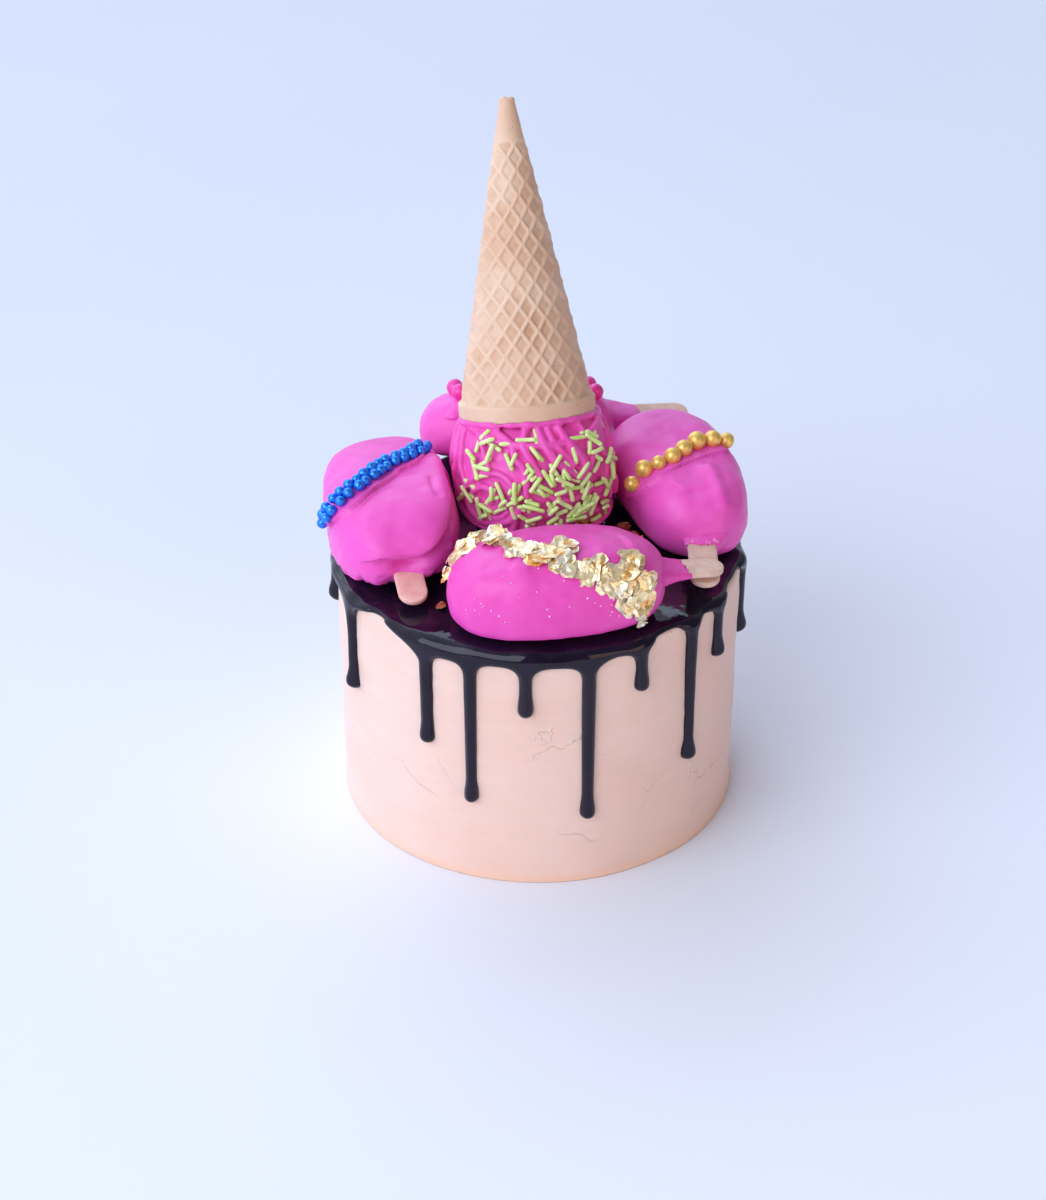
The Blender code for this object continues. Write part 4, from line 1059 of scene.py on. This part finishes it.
# ---------------------------------------------------------------- sprinkles
# Lime-green sugar strands, thrown on while the chocolate was wet: heaped on the right of the front and up by
# the cone, with strays all round.


def strands(name, spots, mat):
    shapes = []
    for centre, run, half, radius in spots:
        line = centre + run * np.linspace(-1, 1, 5)[:, None] * (half - radius)
        bend = np.cross(run, (0.3, 0.5, 0.8)) * 0.12 * half
        line += bend * (1 - np.linspace(-1, 1, 5) ** 2)[:, None]
        shapes.append(tube(line, radius, 10))
    piece = many(name, shapes, mat)
    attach(piece, "root")
    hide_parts("scoop")


lime = shader("lime_sugar", (0.66, 0.86, 0.28), 0.42, Subsurface_Weight=0.2,
              Subsurface_Radius=(0.6, 1.0, 0.3), Subsurface_Scale=1.5 * MM, Specular_IOR_Level=0.5)
tint = between(lime, mottle(lime, 5 * MM, 2.0), 0.35, 0.65, (0.58, 0.84, 0.22), (0.78, 0.90, 0.44))
finish_with(lime, tint, None, relief(lime, mottle(lime, 0.6 * MM, 2.0), 0.03 * MM))
draw = np.random.default_rng(23)
# where they fell: centre and spread in degrees over the ball, how many, and how high the heap is in
# millimetres
falls = [((14, 18), (7, 6), 62, 2.4), ((4, 3), (12, 7), 26, 1.1), ((32, 8), (12, 9), 20, 0.8),
         ((-18, 5), (10, 6), 16, 0.5), ((-45, 4), (12, 8), 9, 0.2), ((50, 36), (9, 9), 22, 0.8),
         ((62, 12), (9, 12), 9, 0.3), ((-35, 27), (8, 6), 8, 0.2), ((-43, 38), (7, 3), 3, 0.1),
         ((-8, 38), (10, 6), 9, 0.2), ((6, 28), (10, 5), 6, 0.2), ((38, -8), (12, 6), 11, 0.3),
         ((20, -18), (16, 5), 12, 0.3), ((-4, -9), (12, 5), 9, 0.3), ((150, 5), (50, 18), 14, 0.2)]
spots = []
taken = np.zeros((0, 3))
for middle, spread, count, heap in falls:
    for i in range(count):
        theta = middle[0] + spread[0] * draw.normal()
        phi = np.clip(middle[1] + spread[1] * draw.normal(), -34, 56)
        at = on_ball(theta, phi)
        out = unit(at - BALL_AT)
        reach = np.exp(-(((theta - middle[0]) / spread[0]) ** 2 + ((phi - middle[1]) / spread[1]) ** 2) / 2)
        at = at + out * (0.75 + heap * reach * draw.uniform(0, 1)) * MM
        run = unit(np.cross(out, draw.normal(size=3)))
        run = unit(run + out * draw.normal() * 0.05)
        half = draw.uniform(2.2, 4.2) * MM
        if (at - CONE_RIM_AT) @ axis > -1.5 * MM or at[2] < POOL_Z + 2.0 * MM:
            continue
        # a strand that falls on others comes to rest above them
        along = run * np.linspace(-1, 1, 9)[:, None] * half
        for lift in range(6):
            near = ((taken[None] - (at + along)[:, None]) ** 2).sum(-1)
            if len(taken) == 0 or near.min() > (1.0 * MM) ** 2:
                break
            at = at + out * 0.45 * MM
        if lift == 5:
            continue
        taken = np.concatenate([taken, at + along])
        spots.append((at, run, half, draw.uniform(0.74, 0.84) * MM))
strands("lime_strands", spots, lime)

# ---------------------------------------------------------------- crumpled leaf
# Edible metal leaf, so thin that it crumples into crinkled scraps where it is laid. It runs in a diagonal
# trail over the front bar and ends in its largest bunch at the right; a few reddish scraps lie beside the
# bars.


def scraps(name, spots, mat, node, seed):
    # thin creased sheets: a spot is the surface under one, its place, size and lift, and how far it stands
    # free
    draw = np.random.default_rng(seed)
    shapes = []
    turns = 2 * math.pi * np.arange(15) / 15
    round_line = np.stack([np.cos(turns), np.sin(turns), turns * 0], 1)
    for carrier, centre, size, lift, stand in spots:
        found, up = [np.array(part) for part in carrier.find_nearest(Vector(centre))[:2]]
        tip = unit(up * (1 - stand) + np.array((-0.1, -0.80,
                                                0.60)) * stand + draw.normal(size=3) * 0.20 * stand)
        a = unit(np.cross(tip, draw.normal(size=3)))
        b = np.cross(tip, a)
        slant = draw.normal(size=2) * 0.22
        edge = size * (1 + 0.26 * waves(round_line, 1.5,
                                        int(draw.integers(1, 9999))) + draw.normal(size=15) * 0.10)
        long = draw.uniform(0.62, 1.0)
        rings = []
        seeds = draw.integers(1, 9999, 3)
        for share in (0.18, 0.42, 0.70, 1.0):
            flat = np.stack([np.cos(turns) * edge * share, np.sin(turns) * edge * share * long, turns * 0], 1)
            tall = waves(flat, 8.0 * MM,
                         int(seeds[0])) * 0.55 + np.abs(waves(flat, 3.2 * MM, int(seeds[1]))) * 0.35
            curl = 0.22 * size * share ** 3 * waves(flat, 7 * MM, int(seeds[2])) + flat[:, :2] @ slant
            high = np.maximum((tall - 0.15) * MM + curl, -0.30 * MM) + 0.45 * MM + lift
            ring = []
            for x, y, h in zip(flat[:, 0], flat[:, 1], high):
                down, way = carrier.find_nearest(Vector(found + a * x + b * y + up * 0.3 * size))[:2]
                laid = np.array(down) + np.array(way) * h
                ring.append(laid * (1 - stand) + (found + a * x + b * y + tip * h) * stand)
            rings.append(ring)
        top = np.array(rings)
        shapes.append(np.concatenate([top - up * 0.07 * MM, top[::-1]]))
    piece = many(name, shapes, mat)
    piece.data.shade_flat()
    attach(piece, "root")
    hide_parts(node)


leaf = shader("gold_leaf", (0.97, 0.84, 0.56), 0.28, Metallic=0.55)
# painted light on the leaf: pale patches stand in for highlights and dark brown patches for shade in the
# creases; the orange patches are partly the leaf's own tint and partly painted shade, all laid out by noise
crinkle = mottle(leaf, 3.6 * MM, 3.0)
shade = between(leaf, crinkle, 0.40, 0.48, (0.93, 0.52, 0.18), (0.96, 0.80, 0.48))
shade = between(leaf, mottle(leaf, 6.0 * MM, 3.0), 0.49, 0.58, shade, (1.0, 0.91, 0.69))
shade = between(leaf, mottle(leaf, 3.0 * MM, 4.0), 0.68, 0.74, shade, (0.52, 0.32, 0.12))
finish_with(leaf, shade, numbers_between(leaf, crinkle, 0.3, 0.7, 0.16, 0.36),
            relief(leaf, mottle(leaf, 1.2 * MM, 2.0), 0.06 * MM))
# where the scraps lie on the front bar, in millimetres in its own frame, their size, and how far they
# stand off
trail = [(-34.8, 6.4, 15.0, 3.0, 1.0), (-31.8, 8.2, 19.0, 3.6, 1.4), (-27.8, 9.8, 22.0, 4.4, 1.6),
         (-23.0, 12.2, 22.9, 4.6, 1.6), (-18.5, 11.5, 24.2, 4.6, 1.4), (-20.5, 6.0, 25.3, 3.6, 0.3),
         (-16.2, 5.0, 25.8, 4.4, 0.8), (-14.0, -0.6, 26.3, 4.4, 0.3), (-15.4, -5.8, 25.6, 2.6, 0.0),
         (-9.1, -5.6, 26.4, 5.0, 0.4), (-6.5, -10.2, 26.0, 4.2, 0.2), (-2.5, -9.2, 26.3, 4.8, 0.5),
         (2.2, -6.6, 26.5, 5.0, 0.9), (1.0, -12.0, 25.8, 4.0, 0.3), (-1.7, -14.6, 24.8, 2.6, 0.0),
         (4.0, -15.9, 23.8, 4.6, 0.3), (8.7, -16.8, 22.6, 5.2, 0.5), (12.8, -18.4, 19.9, 3.8, 0.2),
         (12.5, -13.8, 23.8, 3.0, 0.2), (17.0, -17.0, 20.8, 4.4, 0.4), (23.4, -12.3, 22.7, 5.2, 0.9),
         (20.6, -15.9, 20.7, 5.6, 0.9), (17.6, -19.2, 17.0, 5.0, 0.4), (27.1, -15.5, 15.7, 5.2, 0.9),
         (25.2, -17.6, 11.5, 5.2, 0.9), (21.6, -19.1, 11.7, 5.0, 0.6), (25.4, -17.5, 6.6, 3.2, 0.2),
         (25.9, -15.6, 2.4, 2.4, 0.0)]
draw = random.Random(8)
spots = []
for u, v, w, size, off in trail:
    # three scraps lie over one another, each smaller and higher than the last
    layers = ((1.1, 0.0, 0.5 * off), (0.85, 0.6 + 0.5 * off, 0.25 + 0.4 * off), (0.6, 1.0 + off, 0.5))
    for share, lift, stand in layers:
        shift = [draw.uniform(-0.6, 0.6) * size * (1.2 - share) for k in range(3)]
        at = from_bar(front, (np.array([u, v, w]) + shift) * MM)
        spots.append((front_skin, at, size * share * MM, lift * MM, min(stand, 0.8)))
scraps("gold_leaf", spots, leaf, "pop_front", 81)
copper = shader("red_leaf", (0.75, 0.12, 0.05), 0.25, Metallic=0.7)
glow = between(copper, mottle(copper, 3.0 * MM, 3.0), 0.42, 0.58, (0.72, 0.06, 0.05), (0.95, 0.55, 0.25))
finish_with(copper, glow, None, relief(copper, mottle(copper, 0.8 * MM, 3.0), 0.25 * MM))
glaze_skin = skin_of(pool)
spots = []
for x, y, size in ((30.5, 10.0, 3.4), (31.5, 7.0, 2.6), (33.2, 3.6, 2.2), (35.6, 0.6, 1.9),
                   (-33.2, -43.6, 2.2)):
    spots.append((glaze_skin, np.array([x, y, POOL_Z / MM + 0.6]) * MM, size * MM, 0.3 * MM, 0.4))
ball_skin = skin_of(ball)
for theta, phi, size in ((30.0, -23.0, 2.4), (37.0, -22.0, 3.0), (43.0, -23.0, 2.2)):
    spots.append((ball_skin, on_ball(theta, phi), size * MM, 0.2 * MM, 0.2))
scraps("red_leaf", spots, copper, "ganache", 83)

# ---------------------------------------------------------------- wafer cone
# A plain wafer cone, mouth down on the ball. It was baked in a two-part mould pressed with a net of thin
# ribs; the band at its mouth and the last part of the tip are smooth.
CONE_RIM_R = 23.9 * MM
CONE_BAND = 5.8 * MM
CONE_BODY_R = 22.9 * MM
CONE_TIP_R = 2.6 * MM
CONE_PLAIN_TIP = 14.5 * MM
CONE_WALL = 1.9 * MM
NET_WIDE = 6.0 * MM          # width and height of a diamond of the net
NET_HIGH = 8.3 * MM
RIB_HIGH = 0.72 * MM
RIB_HALF = 0.70 * MM
MOULD_TURN = -6.0
CONE_AROUND = 280
CONE_ROWS = 225
facing = np.array([0.0, -1.0, 0.0])
facing = unit(facing - axis * (facing @ axis))
facing = np.array(Matrix.Rotation(-math.radians(MOULD_TURN), 3, Vector(axis))) @ facing
across = np.cross(axis, facing)
if across[0] < 0:
    across = -across
turns = 2 * math.pi * np.arange(CONE_AROUND) / CONE_AROUND
s = np.concatenate([np.linspace(0.5, 3.5, 7) * MM, np.linspace(3.9 * MM, CONE_LONG - 0.6 * MM, CONE_ROWS)])
body_r = CONE_BODY_R + (CONE_TIP_R - CONE_BODY_R) * (s - CONE_BAND) / (CONE_LONG - CONE_BAND)
body_r = np.maximum(body_r, CONE_TIP_R + 0.35 * MM * ease(s, CONE_LONG - 6 * MM, CONE_LONG - 4 * MM))
band = ease(s, CONE_BAND - 0.5 * MM, CONE_BAND + 0.5 * MM)
radius = CONE_RIM_R * (1 - band) + body_r * band
radius = radius[:, None] + turns * 0
X = radius * np.sin(turns) - 1.2 * MM
along = s[:, None] - CONE_BAND
p = X / NET_WIDE + along / NET_HIGH
q = X / NET_WIDE - along / NET_HIGH
pitch = NET_WIDE * NET_HIGH / math.hypot(NET_WIDE, NET_HIGH)
near_rib = np.minimum(np.abs(p % 1 - 0.5), np.abs(q % 1 - 0.5)) * pitch
plain = ease(s, CONE_BAND - 0.2 * MM,
             CONE_BAND + 0.8 * MM) * (1 - ease(s, CONE_LONG - CONE_PLAIN_TIP - 1 * MM,
                                                                          CONE_LONG - CONE_PLAIN_TIP))
# the net fades towards the seams, where the mould halves drew off sideways
drawn = plain[:, None] * (1 - 0.55 * np.abs(np.sin(turns)) ** 9)
rib = np.exp(-(near_rib / RIB_HALF) ** 4)
worn = 0.85 + 0.25 * waves(np.stack([X, along + X * 0, radius * np.cos(turns)], -1), 14 * MM, 105)
seam = np.exp(-((np.abs(np.cos(turns)) * radius - 1.3 * MM) / (0.45 * MM)) ** 2) * plain[:, None]
skin = (rib - 1) * drawn * np.clip(worn, 0.4, 1.15) * RIB_HIGH + 0.22 * MM * seam
rib = 1 - (1 - rib) * drawn * np.clip(worn, 0.3, 1.0)
spot3 = np.stack([radius * np.sin(turns), radius * np.cos(turns), s[:, None] + turns * 0], -1)
skin += 0.22 * MM * waves(spot3, 40 * MM, 101) + 0.06 * MM * waves(spot3, 6 * MM, 102)
radius = radius + skin


def round_cone(s, radius):
    # a ring round the cone, from distances along it and radii
    s, radius = turns * 0 + s, turns * 0 + radius
    return (CONE_RIM_AT + s[..., None] * axis + (radius * np.sin(turns))[..., None] * across
            + (radius * np.cos(turns))[..., None] * facing)


edge = 0.25 * MM * waves(spot3[:1], 22 * MM, 103)[0]           # the mouth isn't quite level
rings = []
for s_in, r_in in ((2.6, 0.2), (2.6, 12.0), (2.5, 21.4)):
    rings.append(round_cone(s_in * MM, r_in * MM))
rings.append(round_cone(0.6 * MM + edge * 0.5, radius[0] - CONE_WALL))
rings.append(round_cone(0.1 * MM + edge * 0.5, radius[0] - CONE_WALL + 0.4 * MM))
rings.append(round_cone(edge * 0.5, radius[0] - 0.9 * MM))
rings.append(round_cone(0.12 * MM + edge * 0.5, radius[0] - 0.25 * MM))
first_side = len(rings)
for i in range(len(s)):
    rings.append(round_cone(s[i] + edge * 0.5 * (1 - ease(s[i], 0, 6 * MM)), radius[i]))
chip = 0.35 * MM * waves(np.stack([np.sin(turns), np.cos(turns), turns * 0], -1), 1.0, 104)
rings.append(round_cone(CONE_LONG - 0.15 * MM + chip, CONE_TIP_R - 0.25 * MM))
rings.append(round_cone(CONE_LONG - 0.15 * MM + chip, CONE_TIP_R - 1.0 * MM))
rings.append(round_cone(CONE_LONG - 1.3 * MM, CONE_TIP_R - 1.6 * MM))
rings = np.array(rings)
wafer = shader("wafer", (0.72, 0.52, 0.38), 0.55, Specular_IOR_Level=0.35, Subsurface_Weight=0.12,
               Subsurface_Radius=(1.0, 0.6, 0.35), Subsurface_Scale=2 * MM)
ribs = add(wafer, "Attribute")
ribs.attribute_name = "rib"
# painted shade: the diamond faces between the ribs are coloured darker than the ribs, standing in for shade
# in the sunken faces; the mottles are the wafer's own uneven bake
face_tone = between(wafer, mottle(wafer, 12 * MM, 3.0), 0.35, 0.65, (0.64, 0.37, 0.225), (0.78, 0.54, 0.40))
rib_tone = between(wafer, mottle(wafer, 16 * MM, 3.0), 0.35, 0.65, (0.73, 0.46, 0.31), (0.79, 0.56, 0.41))
baked_tone_and_recess_shade = between(wafer, ribs.outputs["Fac"], 0.1, 0.9, face_tone, rib_tone)
baked_tone_and_recess_shade = between(wafer, mottle(wafer, 1.3 * MM, 3.0), 0.66, 0.78, baked_tone_and_recess_shade, (0.52, 0.30, 0.17))
finish_with(wafer, baked_tone_and_recess_shade, numbers_between(wafer, mottle(wafer, 3 * MM), 0.3, 0.7, 0.48, 0.66),
            relief(wafer, mottle(wafer, 0.8 * MM, 3.0), 0.06 * MM,
                   relief(wafer, mottle(wafer, 3 * MM), 0.08 * MM)))
cone = turned_piece("wafer_cone", rings, wafer)
tone = np.ones(len(cone.data.vertices))
tone[first_side * len(turns):(first_side + len(s)) * len(turns)] = rib.ravel()
mark = cone.data.attributes.new("rib", "FLOAT", "POINT")
mark.data.foreach_set("value", tone)
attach(cone, "root")
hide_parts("cone")

# ---------------------------------------------------------------- floor and light
# A flat floor of pale lavender paper, lit from the left by a large soft window and from behind by a cooler
# one.
# The right is in the room's weaker and warmer light.
paper = shader("paper", (0.82, 0.84, 0.92), 0.8, Specular_IOR_Level=0.1)
finish_with(paper, between(paper, mottle(paper, 0.3, 2.0), 0.3, 0.7, (0.81, 0.83, 0.92), (0.83, 0.85, 0.93)))
floor = piece_of("floor", [(-4, -3, 0), (4, -3, 0), (4, 6, 0), (-4, 6, 0)], [(0, 1, 2, 3)], paper,
                 smooth=False)
room = bpy.data.worlds.new("room")
room.use_nodes = True
sky = room.node_tree
glow = sky.nodes["Background"]
glow.inputs["Color"].default_value = (0.78, 0.85, 1.0, 1.0)
look = sky.nodes.new("ShaderNodeTexCoord")
dim = 0.16                       # the dark room behind the camera
total = None
for way, low, high, strong in (((-0.93, 0.10, 0.35), 0.05, 0.95, 0.85), ((-0.35, 0.9, 0.30), 0.1, 0.95, 0.70),
                               ((0.85, 0.1, 0.5), 0.3, 1.0, 0.04)):
    dot = sky.nodes.new("ShaderNodeVectorMath")
    dot.operation = "DOT_PRODUCT"
    dot.inputs[1].default_value = Vector(way).normalized()
    sky.links.new(look.outputs["Generated"], dot.inputs[0])
    span = sky.nodes.new("ShaderNodeMapRange")
    span.interpolation_type = "SMOOTHSTEP"
    for socket, value in (("From Min", low), ("From Max", high), ("To Min", 0.0), ("To Max", strong)):
        span.inputs[socket].default_value = value
    sky.links.new(dot.outputs["Value"], span.inputs["Value"])
    plus = sky.nodes.new("ShaderNodeMath")
    plus.inputs[0].default_value = dim
    if total is not None:
        sky.links.new(total, plus.inputs[0])
    sky.links.new(span.outputs["Result"], plus.inputs[1])
    total = plus.outputs["Value"]
sky.links.new(total, glow.inputs["Strength"])
bpy.context.scene.world = room


def lamp(name, at, aim, size, power, colour):
    light = bpy.data.lights.new(name, "AREA")
    light.shape = "RECTANGLE"
    light.size, light.size_y = size
    light.energy = power
    light.color = colour
    holder = bpy.data.objects.new(name, light)
    holder.location = at
    holder.rotation_euler = (Vector(aim) - Vector(at)).to_track_quat("-Z", "Y").to_euler()
    bpy.context.scene.collection.objects.link(holder)


lamp("window", (-1.08, -1.18, 1.12), (0, 0, 0.10), (2.0, 1.5), 29.0, (0.79, 0.88, 1.0))
lamp("back_window", (-0.8, 2.6, 2.2), (0, 1.2, 0.0), (2.6, 1.6), 25.0, (0.62, 0.77, 1.0))
lamp("room", (0.95, -1.25, 0.60), (0, 0, 0.07), (1.0, 0.9), 5.0, (1.0, 0.70, 0.46))
bpy.context.scene.view_settings.view_transform = "Standard"

# ---------------------------------------------------------------- camera
# A short telephoto lens three quarters of a metre in front of the cake and half a metre up, looking down
# at it. The two angles are in degrees.
LOOK_DOWN = 31.24
ROLL = -0.155
lens = bpy.data.cameras.new("camera")
lens.sensor_width = 36.0
lens.lens = 72.74
camera = bpy.data.objects.new("camera", lens)
bpy.context.scene.collection.objects.link(camera)
tilt = Matrix.Rotation(math.radians(90 - LOOK_DOWN), 4, "X") @ Matrix.Rotation(math.radians(ROLL), 4, "Z")
camera.matrix_world = Matrix.Translation((-0.0055, -0.74577, 0.52480)) @ tilt
bpy.context.scene.camera = camera
